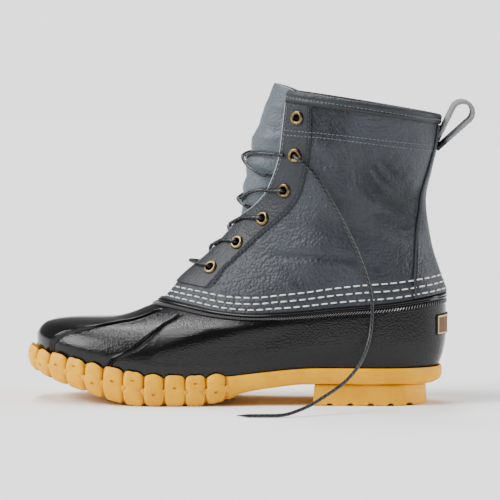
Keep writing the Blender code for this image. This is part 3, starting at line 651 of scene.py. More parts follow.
def rubber_finish():
    """Black rubber by its tone: finely grained at 0, smooth at 1, and at 2, as on the rib crests, lightened
    by a painted highlight.
    """
    f = Finish("black_rubber", IOR=1.5, Specular_IOR_Level=0.3)
    grain = f.cells(750.0, "SMOOTH_F1", smoothness=0.4)
    fine = f.noise(1700.0, 2.0)
    cloud = f.noise(30.0, 4.0)
    colour = f.mix(cloud, srgb(8, 8, 9), srgb(16, 15, 16))
    # Tone above 1 paints a highlight onto the rib crests.
    colour = f.mix(f.tone.step(1.1, 2.0), colour, srgb(128, 128, 132))
    smooth_part = f.tone.step(0.0, 1.0)
    rough = 0.12 + cloud * 0.06 + (1.0 - smooth_part) * 0.03
    normal = f.bump((grain * 0.7 + fine * 0.5) * (1.0 - smooth_part * 0.97), 0.8, 0.00032)
    return f.set(Base_Color=colour, Roughness=rough, Normal=normal)


def leather_finish(name, tones, pebble, strength, crumple=()):
    """Grained leather in tones from dark to light and its cut edge's, wrinkled at the crumple spots, with
    shade painted into the grain's valleys and highlights painted onto the creases and raised wrinkles.
    """
    dark, base, light, edge = tones
    f = Finish(name, IOR=1.45, Specular_IOR_Level=0.45)
    warp = f.node("ShaderNodeTexNoise", {}, {"Vector": f.place, "Scale": 90.0, "Detail": 2.0}, "Color")
    sockets = {0: warp, 1: (0.0035,) * 3, 2: f.place}
    bent = f.node("ShaderNodeVectorMath", {"operation": "MULTIPLY_ADD"}, sockets)
    grain = f.cells(pebble, "F1", bent)
    crack = f.cells(pebble * 0.8, "DISTANCE_TO_EDGE", bent)
    wrinkle = f.noise(pebble * 0.25, 3.0, 0.5, bent, 0.8)
    cloud = f.noise(22.0, 4.0, 0.55)
    height = (1.0 - grain) * 0.5 + crack.step(0.0, 0.4) * 0.2 + wrinkle * 0.5
    colour = f.mix(cloud.step(0.3, 0.7), dark, base)
    for spot in crumple:
        near = f.near(spot)
        lines = f.noise(spot.scale, 4.0, 0.6, f.slanted(spot.slant), 2.2)
        crease = 1.0 - lines.fold()
        height = height + near * crease ** 3.0 * 2.2
        # Painted highlight along the crease lines.
        colour = f.mix(near * crease.step(0.9, 1.0) * 0.3, colour, light)
    # Painted shade in the grain's valleys, and a painted highlight on the raised wrinkles.
    colour = f.mix((1.0 - crack.step(0.0, 0.16)) * 0.3, colour, dark)
    colour = f.mix(wrinkle.step(0.5, 0.8) * 0.08, colour, light)
    # The edge tone: the pale cut edge, and on the binding a painted shadow.
    colour = f.mix(f.tone.step(0.15, 0.85), colour, edge)
    rough = 0.43 + cloud * 0.14
    normal = f.bump(height, strength, 0.0009)
    return f.set(Base_Color=colour, Roughness=rough, Normal=normal)


def thread_finish(name, pale, dark):
    f = Finish(name, Specular_IOR_Level=0.3)
    ply = f.noise(1400.0, 2.0)
    colour = f.mix(ply.step(0.35, 0.65), dark, pale)
    return f.set(Base_Color=colour, Roughness=0.7 + ply * 0.2, Normal=f.bump(ply, 0.4, 0.0003))


def brass_finish():
    f = Finish("antique_brass", Metallic=1.0)
    cloud = f.noise(420.0, 4.0, 0.6)
    colour = f.mix(cloud.step(0.35, 0.7), srgb(100, 84, 54), srgb(150, 130, 92))
    # Tone paints shade into the bore and at the feet of the rolled rim.
    colour = f.mix(f.tone, colour, srgb(40, 30, 18))
    return f.set(Base_Color=colour, Roughness=0.24 + cloud * 0.22, Normal=f.bump(cloud, 0.15, 0.0003))


def lace_finish():
    f = Finish("lace_cord", Specular_IOR_Level=0.4)
    fibre = f.noise(2200.0, 2.0)
    colour = f.mix(fibre.step(0.3, 0.7), srgb(12, 12, 13), srgb(24, 25, 27))
    colour = f.mix(f.tone.step(0.4, 0.6), colour, srgb(84, 86, 90))
    return f.set(Base_Color=colour, Roughness=0.24 + fibre * 0.16, Normal=f.bump(fibre, 0.4, 0.0001))


def webbing_finish():
    f = Finish("loop_webbing", Specular_IOR_Level=0.25)
    fibre = f.noise(1900.0, 2.0)
    colour = f.mix(fibre.step(0.3, 0.7), srgb(100, 102, 105), srgb(146, 148, 150))
    # Tone paints shade into the weave's dips and a shadow at the loop's base.
    colour = f.mix(f.tone.step(0.1, 0.9), colour, srgb(44, 45, 48))
    return f.set(Base_Color=colour, Roughness=0.75 + fibre * 0.2, Normal=f.bump(fibre, 0.5, 0.0004))


def label_finish():
    f = Finish("heel_label", Specular_IOR_Level=0.3)
    weave = f.noise(1500.0, 2.0)
    colour = f.mix(weave.step(0.3, 0.7), srgb(84, 62, 38), srgb(112, 82, 54))
    colour = f.mix(f.tone.step(0.3, 0.45), colour, srgb(196, 178, 136))
    colour = f.mix(f.tone.step(0.7, 0.85), colour, srgb(46, 38, 22))
    return f.set(Base_Color=colour, Roughness=0.6 + weave * 0.2, Normal=f.bump(weave, 0.4, 0.0004))


def foam_finish():
    f = Finish("felted_foam", Specular_IOR_Level=0.2)
    fibre = f.noise(1200.0, 4.0, 0.7)
    cloud = f.noise(40.0, 3.0)
    colour = f.mix(fibre.step(0.3, 0.7), srgb(104, 98, 90), srgb(150, 144, 134))
    return f.set(Base_Color=colour, Roughness=0.85 + cloud * 0.1, Normal=f.bump(fibre, 0.6, 0.0008))


def floor_finish():
    f = Finish("pale_floor", Specular_IOR_Level=0.1)
    cloud = f.noise(3.0, 2.0)
    colour = f.mix(cloud, (0.9, 0.9, 0.9), (0.93, 0.93, 0.93))
    return f.set(Base_Color=colour, Roughness=0.9 + cloud * 0.05)


GUM = gum_finish()
RUBBER = rubber_finish()
# Where the shaft's leather is finely wrinkled: X, Z, reach, size and slant of the wrinkles.
Crumple = namedtuple("Crumple", "x z reach scale slant")
CRUMPLES = (
    Crumple(106.0, 160.0, 30.0, 210.0, 0.25),
    Crumple(66.0, 202.0, 26.0, 230.0, 0.7),
    Crumple(120.0, 138.0, 26.0, 230.0, 1.2),
)
# Each leather's dark, base and light tones, the light one a painted highlight, and its cut edge.
SHAFT_TONES = srgb(38, 41, 47), srgb(50, 54, 61), srgb(84, 88, 96), srgb(170, 175, 182)
STAY_TONES = srgb(27, 30, 35), srgb(34, 37, 43), srgb(54, 58, 64), srgb(168, 172, 178)
# The binding's edge tone is black, a painted shadow along its foot.
BINDING_TONES = *STAY_TONES[:3], srgb(10, 10, 12)
TONGUE_TONES = srgb(72, 80, 86), srgb(88, 96, 103), srgb(112, 120, 126), srgb(150, 156, 162)
SHAFT_LEATHER = leather_finish("pebbled_leather", SHAFT_TONES, 450.0, 1.0, CRUMPLES)
STAY_LEATHER = leather_finish("smooth_leather", STAY_TONES, 520.0, 0.5)
BINDING_LEATHER = leather_finish("binding_leather", BINDING_TONES, 520.0, 0.5)
TONGUE_LEATHER = leather_finish("tongue_leather", TONGUE_TONES, 500.0, 0.7)
WHITE_THREAD = thread_finish("white_thread", srgb(236, 236, 234), srgb(196, 197, 198))
GREY_THREAD = thread_finish("grey_thread", srgb(112, 116, 122), srgb(80, 84, 90))
DARK_THREAD = thread_finish("dark_thread", srgb(70, 73, 78), srgb(44, 46, 50))
PIPING = thread_finish("dark_piping", srgb(58, 60, 64), srgb(40, 42, 46))
BRASS = brass_finish()
LACE = lace_finish()
WEBBING = webbing_finish()
LABEL = label_finish()
FOAM = foam_finish()
FLOOR = floor_finish()


# Eyelets and lace


def eyelet_heights():
    """Height on the last of each eyelet, a pitch apart along the line of the eyelets."""
    heights = np.linspace(THROAT[0].height, BINDING_TOP, 120)
    line = np.array([throat_point(h, float(throat("eyelet", h)), 0.0) for h in heights])
    arc = arc_along(line)
    return [float(np.interp(EYELET_FIRST + k * EYELET_PITCH, arc, heights)) for k in range(EYELETS)]


def eyelet_axes(height, side):
    """Centre on the last, outward normal and two cross directions of one eyelet."""
    across = side * float(throat("eyelet", height))
    centre = throat_point(height, across, 0.0)
    normal = throat_point(height, across, 1.0) - centre
    along = np.cross(normal, (0.0, 1.0, 0.0))
    along /= np.linalg.norm(along)
    return centre, normal, along, np.cross(normal, along)


EYELET_ROWS = eyelet_heights()
EYELET_TOP = STRIP_FACE + EYELET_SEAT_GAP + EYELET_FLANGE_RISE
LACE_OVER_EYELET = EYELET_TOP + LACE_GAP + LACE_RADIUS


def tongue_depth(height, across):
    """Depth of the tongue's outer face: under the leather at its sides, bulging out through the throat."""
    gap = throat("half_gap", height)
    inside = np.clip(1.0 - (across / np.maximum(gap - TONGUE_EDGE_GAP, 1.0)) ** 2, 0.0, None)
    openness = gap / max(column(THROAT, "half_gap"))
    bulge = TONGUE_BULGE * (inside * openness) ** TONGUE_BULGE_POWER
    under_binding = np.clip((height - TONGUE_EASE[0]) / (TONGUE_EASE[1] - TONGUE_EASE[0]), 0.0, 1.0)
    clearance = TONGUE_CLEARANCE + (TONGUE_TOP_CLEARANCE - TONGUE_CLEARANCE) * under_binding
    return bulge - LEATHER_WALL - clearance


LACE_SIDES = 16
LACE_STEP = 0.5
BRAID_PITCH = 1.9
BRAID_RISE = 0.07
FLECK_EVERY = 4
LACE_TIP = 9.0
LACE_EASING = 44


def lace_tube(build, route, tip=0.0):
    """Braided cord along a route: strands of both hands stand a little proud, and some carry pale flecks."""
    ahead, side, up = frames_along(route)
    along = arc_along(route)[:, None]
    angle = (np.arange(LACE_SIDES) * FULL_TURN / LACE_SIDES)[None, :]
    left = np.cos(4.0 * (angle + FULL_TURN * along / (4.0 * BRAID_PITCH)))
    right = np.cos(4.0 * (angle - FULL_TURN * along / (4.0 * BRAID_PITCH)))
    tapered = ease(along, along[-1] - tip, along[-1] + 1.0) if tip else 0.0 * along
    radius = LACE_RADIUS * (1.0 - 0.75 * tapered)
    reach = radius - BRAID_RISE + BRAID_RISE * (left + right) / 2.0 * (tapered == 0.0)
    ring = side[:, None] * np.cos(angle)[..., None] + up[:, None] * np.sin(angle)[..., None]
    points = route[:, None] + ring * reach[..., None]
    turn = np.floor((angle / FULL_TURN + along / (4.0 * BRAID_PITCH)) * 8.0)
    back = np.floor((angle / FULL_TURN - along / (4.0 * BRAID_PITCH)) * 8.0)
    flecks = ((turn % FLECK_EVERY == 0) & (back % 2 == 0) & (tapered == 0.0)).astype(float)
    build.grid(points, flecks, wrap_columns=True)
    for row, way in ((0, -1), (-1, 1)):
        build.cap(points[row], route[row] + ahead[row] * way * radius[row] * 0.5)


def make_lace_end():
    """Loose cord out of the fifth outer eyelet, with a tapered tip."""
    centre, normal, _, _ = eyelet_axes(EYELET_ROWS[LACED_EYELETS - 1], 1)
    start = [centre + normal * d for d in (-1.0, 1.4, EYELET_TOP + LACE_GAP + 0.4)]
    route = curve_through(start + [tuple(p) for p in LACE_END], LACE_STEP)
    for _ in range(LACE_EASING):
        route[1:-1] = (route[:-2] + 2.0 * route[1:-1] + route[2:]) / 4.0
    build = Build()
    lace_tube(build, route, LACE_TIP)
    piece = build.piece("loose_lace_end", LACE, "lace", ["lace_end"], weld=0.001)


# Rubber lower

# Raised seams on the rubber's outer side, by height: the turn of the slanting one and of the toe's.
Ridge = namedtuple("Ridge", "height slant moc")
RIDGES = (
    Ridge(0.00, 2.235, 2.700),
    Ridge(0.17, 2.190, 2.682),
    Ridge(0.34, 2.135, 2.615),
    Ridge(0.47, 2.106, 2.556),
    Ridge(0.59, 2.130, 2.530),
    Ridge(0.65, 2.151, 2.536),
    Ridge(0.73, 2.195, 2.564),
    Ridge(0.81, 2.258, 2.606),
    Ridge(0.88, 2.322, 2.646),
    Ridge(0.94, 2.368, 2.672),
    Ridge(1.00, 2.410, 2.685),
)
RIDGE_REACH = 3.6
SHELL_FOOT = -0.15
RIM_DEEP = 8.7
RIB_PITCH = 2.0
RIB_RISE = 0.75
RIB_STRIP = (5.3, 8.4)
FLANGE_SEAT = 3.3
FLANGE_WALL = 1.5
FLANGE_TOP = 1.09

# Section of the rim below the leather: distance down from the leather's foot and rise off the rubber.
Rim = namedtuple("Rim", "down rise")
RIM = (
    Rim(9.2, -0.9),
    Rim(8.9, 0.1),
    Rim(8.6, 0.75),
    Rim(8.2, 0.95),
    Rim(6.8, 0.95),
    Rim(5.5, 0.95),
    Rim(5.15, 0.7),
    Rim(4.85, 0.0),
    Rim(4.4, 0.0),
    Rim(4.1, 0.8),
    Rim(3.7, 1.25),
    Rim(3.2, 1.45),
    Rim(2.6, 1.35),
    Rim(2.2, 1.15),
    Rim(1.8, 1.3),
    Rim(1.3, 1.65),
    Rim(0.7, 1.6),
    Rim(0.25, 1.0),
    Rim(0.0, 0.2),
    Rim(-0.15, -0.6),
)

# How far the leather's foot lies above the last's rim ring, by place along the boot.
FootLift = namedtuple("FootLift", "x rise")
FOOT_LIFT = (
    FootLift(-60.0, 2.9),
    FootLift(-36.0, 2.3),
    FootLift(-12.0, 1.3),
    FootLift(8.0, 1.9),
    FootLift(30.0, 3.3),
    FootLift(60.0, 3.4),
    FootLift(88.0, 2.6),
    FootLift(118.0, 0.8),
    FootLift(140.0, 0.0),
)


def foot_lift(turns):
    return along_table(FOOT_LIFT, "x", "rise", last(1.0, turns)[..., 0])


def rise_scale(turns):
    """Millimetres up the leather's foot for one unit of height."""
    return np.linalg.norm(last(1.05, turns) - last(1.0, turns), axis=-1) / 0.05


def above_foot(turns, distance):
    """Height on the last at a distance above the leather's foot, or below it where negative."""
    up = foot_lift(turns) + distance
    down_scale = np.linalg.norm(last(0.999, turns) - last(0.979, turns), axis=-1) / 0.02
    return 1.0 + np.where(up > 0.0, up / rise_scale(turns), up / down_scale)


def ridge_relief(slant, moc):
    """Rise of the raised seams by distance from them: twin piping, and a step up to the toe's top strip."""
    twin = np.exp(-(((slant - 0.85) / 0.6) ** 2)) + np.exp(-(((slant + 0.85) / 0.6) ** 2))
    relief = 1.15 * twin - 0.25 * np.exp(-(((np.abs(slant) - 2.3) / 0.5) ** 2))
    edge = 1.5 * np.exp(-((moc / 1.0) ** 2)) - 0.4 * np.exp(-(((np.abs(moc) - 2.2) / 0.6) ** 2))
    return relief + edge + 0.4 * ease(moc, -0.3, 0.6)


def ridge_speed(name, height, ridge):
    """Millimetres square to a ridge's line for one radian of turn at a height."""
    along = float(np.linalg.norm(last(height, ridge + 1e-3) - last(height, ridge - 1e-3))) / 2e-3
    low, high = max(height - 0.02, 0.0), min(height + 0.02, 1.0)
    ends = along_table(RIDGES, "height", name, np.array((low, high)))
    upward = float(np.linalg.norm(last(high, ridge) - last(low, ridge))) / (high - low)
    slope = float(ends[1] - ends[0]) / (high - low) * along
    return along * max(upward / math.hypot(upward, slope), 0.3)


def make_rubber_lower():
    build = Build()
    # Grained panels, with columns gathered at the raised seams.
    rise = np.concatenate((np.linspace(SHELL_FOOT, 0.0, 4)[:-1], np.linspace(0.0, 1.0, 84)))
    rows, tones = [], []
    for share in rise:
        near = max(share, 0.0)
        slant, moc = [float(along_table(RIDGES, "height", name, near)) for name in ("slant", "moc")]
        keys = [0.0]
        speeds = []
        for name, ridge in (("slant", slant), ("moc", moc)):
            speed = ridge_speed(name, near, ridge)
            keys += [ridge - RIDGE_REACH / speed, ridge + RIDGE_REACH / speed]
            speeds.append(speed)
        turns = spread(keys + [math.pi], (110, 20, 36, 20, 40))
        top = above_foot(turns, -RIM_DEEP)
        height = np.where(share > 0.0, share * top, share + 0.0 * top)
        fade = ease(share, 0.02, 0.06) * (1.0 - ease(share, 0.965, 0.99))
        relief = ridge_relief((turns - slant) * speeds[0], (turns - moc) * speeds[1]) * fade
        outer = skin(height, turns, relief)
        inner = skin(height[-2:0:-1], -turns[-2:0:-1], relief[-2:0:-1])
        rows.append(np.concatenate((outer, inner)))
        smooth_top = ease((turns - moc) * speeds[1], -2.5, -1.5)
        tone = np.maximum(smooth_top, 1.0 - ease(np.abs(turns - slant) * speeds[0], 1.8, 2.6))
        tones.append(np.concatenate((tone, tone[-2:0:-1])))
    build.grid(np.array(rows), np.array(tones), wrap_columns=True)
    # Rim: ribbed strip, bead, ledge under the leather, sewing flange and inner wall.
    fine = np.linspace(0.0, FULL_TURN, 2401)[:-1]
    line = last(0.95, signed(fine))
    arc = arc_along(np.concatenate((line, line[:1])))
    ribs = int(round(arc[-1] / RIB_PITCH))
    places = np.linspace(0.0, arc[-1], ribs * 4 + 1)[:-1]
    turns = signed(np.interp(places, arc[:-1], fine))
    rib = np.tile((1.0, 0.5, 0.0, 0.5), ribs)
    rows, tones = [], []
    for row in RIM:
        ribbed = RIB_RISE if RIB_STRIP[0] < row.down < RIB_STRIP[1] else 0.0
        rows.append(skin(above_foot(turns, -row.down), turns, row.rise - ribbed * (1.0 - rib)))
        # Rib crests take tone up to 2, a painted highlight.
        tones.append(1.0 + (rib**2 if ribbed else 0.0 * rib))
    build.grid(np.array(rows), np.array(tones), wrap_columns=True)
    turns = signed(np.linspace(0.0, FULL_TURN, 241)[:-1])
    flange_back = -FLANGE_SEAT - FLANGE_WALL
    section = [(1.0, 0.0), (1.0, -FLANGE_SEAT), (FLANGE_TOP, -FLANGE_SEAT), (FLANGE_TOP, flange_back)]
    section += [(1.0, flange_back), (0.95, -RUBBER_WALL)]
    section += [(h, -RUBBER_WALL) for h in np.linspace(0.9, SHELL_FOOT, 14)] + [(SHELL_FOOT, 0.0)]
    build.grid(np.array([skin(h, turns, np.full(len(turns), d)) for h, d in section]), 1.0, wrap_columns=True)
    build.piece("rubber_lower", RUBBER, "black_rubber", ["rubber_shell"], weld=0.002)


# Outsole and heel

LINK_COLUMNS = 44
FACE_ROWS = 46
TREAD_LANES = 34
TREAD_DEEP = 2.2
BAND_COLUMNS = 130


def sole_columns():
    """Turns from toe to back, each one's link, place on the link and share of the band, and the pitch."""
    turns = np.linspace(math.pi, 0.0, 2881)
    edge = last(0.0, np.clip(turns, 1e-6, math.pi - 1e-6))
    flat = edge * (1.0, 1.0, 0.0)
    arc = arc_along(flat)
    tread = float(np.interp(TREAD_END_X, edge[:, 0], arc))
    pitch = tread / (LINKS - 0.5)
    inside = np.linspace(0.0, tread, int((LINKS - 0.5) * LINK_COLUMNS) + 1)
    band = np.linspace(tread, arc[-1], BAND_COLUMNS + 1)[1:]
    places = np.concatenate((inside, band))
    link = np.round(places / pitch)
    share = np.where(places <= tread, places / pitch - link, 0.5)
    return np.interp(places, arc, turns), link, share, ease(places, tread + 0.2, tread + 2.2), pitch


# Lumps of the three kinds of moulded link: place across the link and down it, half sizes, sharpness and rise.
Lump = namedtuple("Lump", "across down half_width half_height power rise")
LINK_LUMPS = (
    (
        Lump(0.0, 0.28, 0.485, 0.38, 3.4, 2.6),
        Lump(0.0, 0.72, 0.5, 0.34, 3.2, 2.8),
    ),
    (
        Lump(0.0, 0.25, 0.49, 0.3, 3.4, 2.6),
        Lump(0.0, 0.5, 0.34, 0.3, 2.4, 2.4),
        Lump(0.0, 0.78, 0.5, 0.28, 3.4, 2.8),
    ),
    (
        Lump(0.0, 0.2, 0.45, 0.28, 3.0, 2.5),
        Lump(0.0, 0.63, 0.5, 0.4, 2.6, 2.8),
    ),
)
LINK_MARKS = (0.4, 0.26, 0.62)
STAR_DOWN = 0.53


def link_relief(link, share, depth):
    """Rise of the moulded chain on the sole's side, and the painted shade that its low places, marks and
    nicks take.
    """
    kind = link.astype(int) % 3
    rise = np.zeros(len(share))
    for which, lumps in enumerate(LINK_LUMPS):
        for lump in lumps:
            off = np.abs((share - lump.across) / lump.half_width) ** lump.power
            off = off + abs((depth - lump.down) / lump.half_height) ** lump.power
            dome = lump.rise * np.clip(1.0 - off, 0.0, 1.0) ** 0.34
            rise = np.maximum(rise, np.where(kind == which, dome, 0.0))
    reach = (np.abs(np.abs(share) - 0.5) / 0.19) ** 0.85 + (abs(depth - STAR_DOWN) / 0.16) ** 0.85
    rise = np.maximum(rise, 2.1 * np.clip(1.0 - reach, 0.0, 1.0) ** 0.35)
    mark_at = np.array(LINK_MARKS)[kind]
    mark = ((np.abs(share) < 0.09) & (np.abs(depth - mark_at) < 0.025)).astype(float)
    nick = (0.5 + 0.5 * np.cos(FULL_TURN * share * 7.0)) * ease(depth, 0.86, 1.0)
    depth_and_shade = ease(rise, 1.3, 0.2)
    return rise - LINK_VALLEY - 0.8 * mark - 0.35 * nick, np.clip(depth_and_shade + 0.8 * mark + 0.25 * nick, 0.0, 1.0)


def under_z(x):
    return along_table(UNDERSIDE, "x", "z", x)


def make_outsole():
    build = Build()
    turns, link, share, band, pitch = sole_columns()
    sides = []
    inner = []
    for side in (1.0, -1.0):
        top = last(0.0, side * turns)
        along = last(0.0, side * turns + 1e-3) - last(0.0, side * turns - 1e-3)
        out = np.stack((-along[:, 1], along[:, 0], np.zeros(len(turns))), axis=-1)
        out /= np.linalg.norm(out, axis=1, keepdims=True)
        toe = (top[:, 0] - TOE_LIP_START_X) / (RINGS[1].front - TOE_LIP_START_X)
        toe_lip = TOE_LIP * np.clip(toe, 0.0, 1.0)
        kind = link.astype(int) % 3
        flat = np.clip(1.0 - (np.abs(share) / 0.5) ** 4.0, 0.0, 1.0)
        dipped = np.clip(1.0 - (np.abs(share) / 0.5) ** 3.0, 0.0, 1.0) - 0.15 * np.exp(-((share / 0.14) ** 2))
        peaked = np.clip(1.0 - (np.abs(share) / 0.46) ** 1.7, 0.0, 1.0)
        peaks = np.choose(kind, (flat, dipped, peaked))
        lift = (0.2 + LINK_PEAK * peaks) * (1.0 - band)
        notch = LINK_NOTCH * ease(np.abs(share), 0.34, 0.5) * (1.0 - band)
        rows, tones = [], []
        for depth in np.linspace(0.0, 1.0, FACE_ROWS):
            edge = [float(along_table(SOLE_EDGE, "depth", name, depth)) for name in ("tread", "band")]
            relief, depth_and_shade = link_relief(link, share, depth)
            hang = (edge[0] + relief * ease(depth, -0.1, 0.1)) * (1.0 - band) + edge[1] * band + toe_lip
            loop = top + out * hang[:, None]
            loop[:, 2] = (top[:, 2] + lift) * (1.0 - depth) + (under_z(loop[:, 0]) + notch) * depth
            rows.append(loop)
            # Painted shade in the chain's low places, marks and nicks.
            tones.append(depth_and_shade * (1.0 - band))
        sides.append(np.array(rows))
        build.grid(np.array(rows), np.array(tones), flip=side < 0.0)
        inner.append([skin(h, side * turns, np.full(len(turns), CUP_GAP)) for h in (0.0, CUP_FLOOR)])
        # Painted shade on the cup's walls.
        build.grid(np.array([rows[0], inner[-1][0], inner[-1][1]]), 0.2)
    # Underside: chain links in rows across the tread, plain under the waist and heel.
    left, right = sides[0][-1], sides[1][-1]
    rows, tones = [], []
    for k in range(TREAD_LANES + 1):
        across = k / TREAD_LANES
        loop = left * (1.0 - across) + right * across
        width = np.linalg.norm(right - left, axis=1)
        lane = across * width / pitch
        block = np.cos(FULL_TURN * share) * np.cos(FULL_TURN * (lane + 0.5 * (link % 2)))
        rim = 1.0 - float(ease(min(across, 1.0 - across), 0.0, 0.08))
        depth_and_shade = np.clip(0.5 - 0.9 * block, 0.0, 1.0) * (1.0 - rim) * (1.0 - band)
        edge_z = left[:, 2] * (1.0 - across) + right[:, 2] * across
        flat = under_z(loop[:, 0]) + TREAD_DEEP * depth_and_shade
        loop[:, 2] = edge_z * rim + flat * (1.0 - rim)
        rows.append(loop)
        # Painted shade in the tread's hollows.
        tones.append(depth_and_shade * 0.5)
    build.grid(np.array(rows), np.array(tones))
    # Painted shade on the cup's floor.
    build.grid(between(inner[0][1], inner[1][1], 7), 0.2)
    build.piece("gum_outsole", GUM, "gum_rubber", ["outsole"], sharp=50.0, weld=0.002)


HEEL_BREAST_X = 57.0
HEEL_HALF_WIDTH = 31.0
HEEL_BREAST_HALF_WIDTH = 33.0
HEEL_TOP_INSET = 1.2
HEEL_CHAMFER = 1.0
HEEL_NOTCHES = (69.0, 83.5, 98.0, 112.0, 125.0)
HEEL_NOTCH_DEEP = 1.6
HEEL_NOTCH_HALF = 2.2
PIECE_GAP = 0.3


def heel_notches(x, y):
    """Share of the grooves under the heel at points of its outline, none where it nears the middle."""
    return sum(np.exp(-(((x - n) / HEEL_NOTCH_HALF) ** 4)) for n in HEEL_NOTCHES) * ease(y, 6.0, 12.0)


def make_heel():
    """Block under the back of the sole, with grooves moulded across its tread."""
    round_x = HEEL_BACK_X - HEEL_HALF_WIDTH
    arc = np.linspace(0.0, math.pi / 2, 60)
    side_x = np.linspace(round_x, HEEL_BREAST_X, 110)[1:]
    x = np.concatenate((round_x + HEEL_HALF_WIDTH * np.cos(arc), side_x))
    straight = (round_x - x[60:]) / (round_x - HEEL_BREAST_X)
    flare = HEEL_BREAST_HALF_WIDTH - HEEL_HALF_WIDTH
    y = np.concatenate((HEEL_HALF_WIDTH * np.sin(arc), HEEL_HALF_WIDTH + flare * straight))
    breast = np.linspace(1.0, 0.0, 24)[1:]
    x = np.concatenate((x, np.full(len(breast), HEEL_BREAST_X)))
    y = np.concatenate((y, HEEL_BREAST_HALF_WIDTH * breast))
    middle = np.array(((HEEL_BREAST_X + HEEL_BACK_X) / 2.0, 0.0))
    top = float(under_z(HEEL_BACK_X)) - PIECE_GAP
    profile = [(top, 2.0), (top, HEEL_TOP_INSET + 0.4), (top - 0.4, HEEL_TOP_INSET)]
    profile += [(z, HEEL_TOP_INSET * z / top) for z in np.linspace(top - 1.5, HEEL_CHAMFER + 0.6, 14)]
    profile += [(HEEL_CHAMFER, 0.05), (0.35, 0.4), (0.0, HEEL_CHAMFER + 0.2)]
    build = Build()
    feet = []
    tops = []
    for side in (-1.0, 1.0):
        outline = np.stack((x, side * y), axis=1)
        reach = np.linalg.norm(outline - middle, axis=1, keepdims=True)
        rows, tones = [], []
        for z, inset in profile:
            flat = middle + (outline - middle) * (1.0 - inset / reach)
            notch = heel_notches(flat[:, 0], y)
            lifted = z + (HEEL_NOTCH_DEEP * notch) * ease(z, 5.0, 0.0)
            rows.append(np.concatenate((flat, lifted[:, None]), axis=1))
            # Painted shade in the grooves and along the foot of the block.
            tones.append(0.35 * notch * ease(z, 3.0, 0.0) + 0.2 * ease(z, 1.0, 0.0))
        build.grid(np.array(rows), np.array(tones), flip=side < 0.0)
        feet.append(rows[-1])
        tops.append(rows[0])
    lanes = between(feet[0], feet[1], 25)
    for a, lane in zip(np.linspace(-1.0, 1.0, 25), lanes):
        inside = float(ease(1.0 - abs(a), 0.0, 0.15))
        lane[:, 2] = lane[:, 2] * (1.0 - inside) + HEEL_NOTCH_DEEP * heel_notches(lane[:, 0], y) * inside
    # Painted shade on the tread and on the top, under the sole.
    build.grid(lanes, 0.25)
    build.grid(between(tops[0], tops[1], 5), 0.2)
    build.piece("gum_heel", GUM, "gum_rubber", ["heel"], weld=0.002)


INSOLE_THICKNESS = 3.5
INSOLE_MARGIN = 0.6


def make_insole():
    """Felted board in the sole's cup, with a softened edge."""
    turns = np.linspace(0.0, math.pi, 161)
    build = Build()
    loops = []
    for rise, inset in ((0.0, 0.5), (0.5, 0.0), (2.7, 0.0), (3.3, 0.4), (INSOLE_THICKNESS, 1.3)):
        sides = []
        for side in (1.0, -1.0):
            loop = skin(CUP_FLOOR, side * turns, np.full(len(turns), -RUBBER_WALL - INSOLE_MARGIN - inset))
            loop[:, 2] += PIECE_GAP + rise
            sides.append(loop)
        loops.append(sides)
    for k in (0, 1):
        build.grid(np.array([loop[k] for loop in loops]), flip=k == 1)
    for sides in (loops[0], loops[-1]):
        build.grid(between(sides[0], sides[1], 25))
    build.piece("felt_insole", FOAM, "foam", ["insole"], weld=0.002)


# Leather

# Soft folds of the shaft from its outer side: ends in X and Z, how far each stands out, and its half width.
Fold = namedtuple("Fold", "x z to_x to_z rise half_width")
FOLDS = (
    Fold(26.0, 106.0, 92.0, 104.0, -1.9, 2.2),
    Fold(80.0, 104.0, 106.0, 98.0, -1.2, 3.0),
    Fold(34.0, 113.0, 94.0, 111.0, 1.3, 6.5),
    Fold(34.0, 98.0, 54.0, 86.0, -0.8, 3.0),
    Fold(30.0, 92.0, 46.0, 82.0, 0.7, 3.0),
    Fold(60.0, 132.0, 110.0, 120.0, -1.6, 9.0),
    Fold(64.0, 142.0, 92.0, 138.0, 1.4, 6.0),
    Fold(80.0, 188.0, 84.0, 152.0, -2.2, 8.0),
    Fold(100.0, 170.0, 114.0, 150.0, 2.0, 9.0),
    Fold(90.0, 168.0, 104.0, 148.0, -1.3, 2.2),
    Fold(97.0, 172.0, 114.0, 152.0, -1.3, 2.0),
    Fold(104.0, 174.0, 122.0, 158.0, -1.3, 2.0),
    Fold(90.0, 158.0, 102.0, 142.0, -1.2, 2.0),
    Fold(102.0, 146.0, 124.0, 136.0, -1.4, 2.6),
    Fold(100.0, 140.0, 126.0, 126.0, 1.2, 5.0),
    Fold(110.0, 130.0, 128.0, 118.0, -1.0, 3.0),
    Fold(56.0, 206.0, 68.0, 190.0, -0.6, 2.2),
    Fold(62.0, 208.0, 76.0, 192.0, -0.6, 2.2),
    Fold(58.0, 178.0, 74.0, 168.0, -0.8, 3.0),
)
SIDE_COLUMNS = (26, 108, 14)
SHAFT_ROWS = 112
SEWN_ROWS = 40
SEWN_TOP = 1.13
SEWN_DIP = 0.4

# Distances of the three rim rows above the leather's foot.
RIM_ROWS = (3.1, 7.15, 11.2)


def spread(keys, counts):
    """Values between keys, evenly spaced in each stretch."""
    pieces = [np.linspace(a, b, n + 1)[:-1] for a, b, n in zip(keys, keys[1:], counts)]
    return np.concatenate(pieces + [keys[-1:]])


def shaft_turns(height):
    """Columns of the leather at a height, from the throat's outer edge round the back to its inner edge."""
    edge = math.pi
    if height > THROAT[0].height:
        edge = throat_turn(height, float(throat("half_gap", height)))
    stay = throat_turn(height, float(throat("stay", height)))
    outer = spread((edge, stay, float(backstay_turn(height)), 0.0), SIDE_COLUMNS)
    return np.concatenate((outer, -outer[-2::-1]))


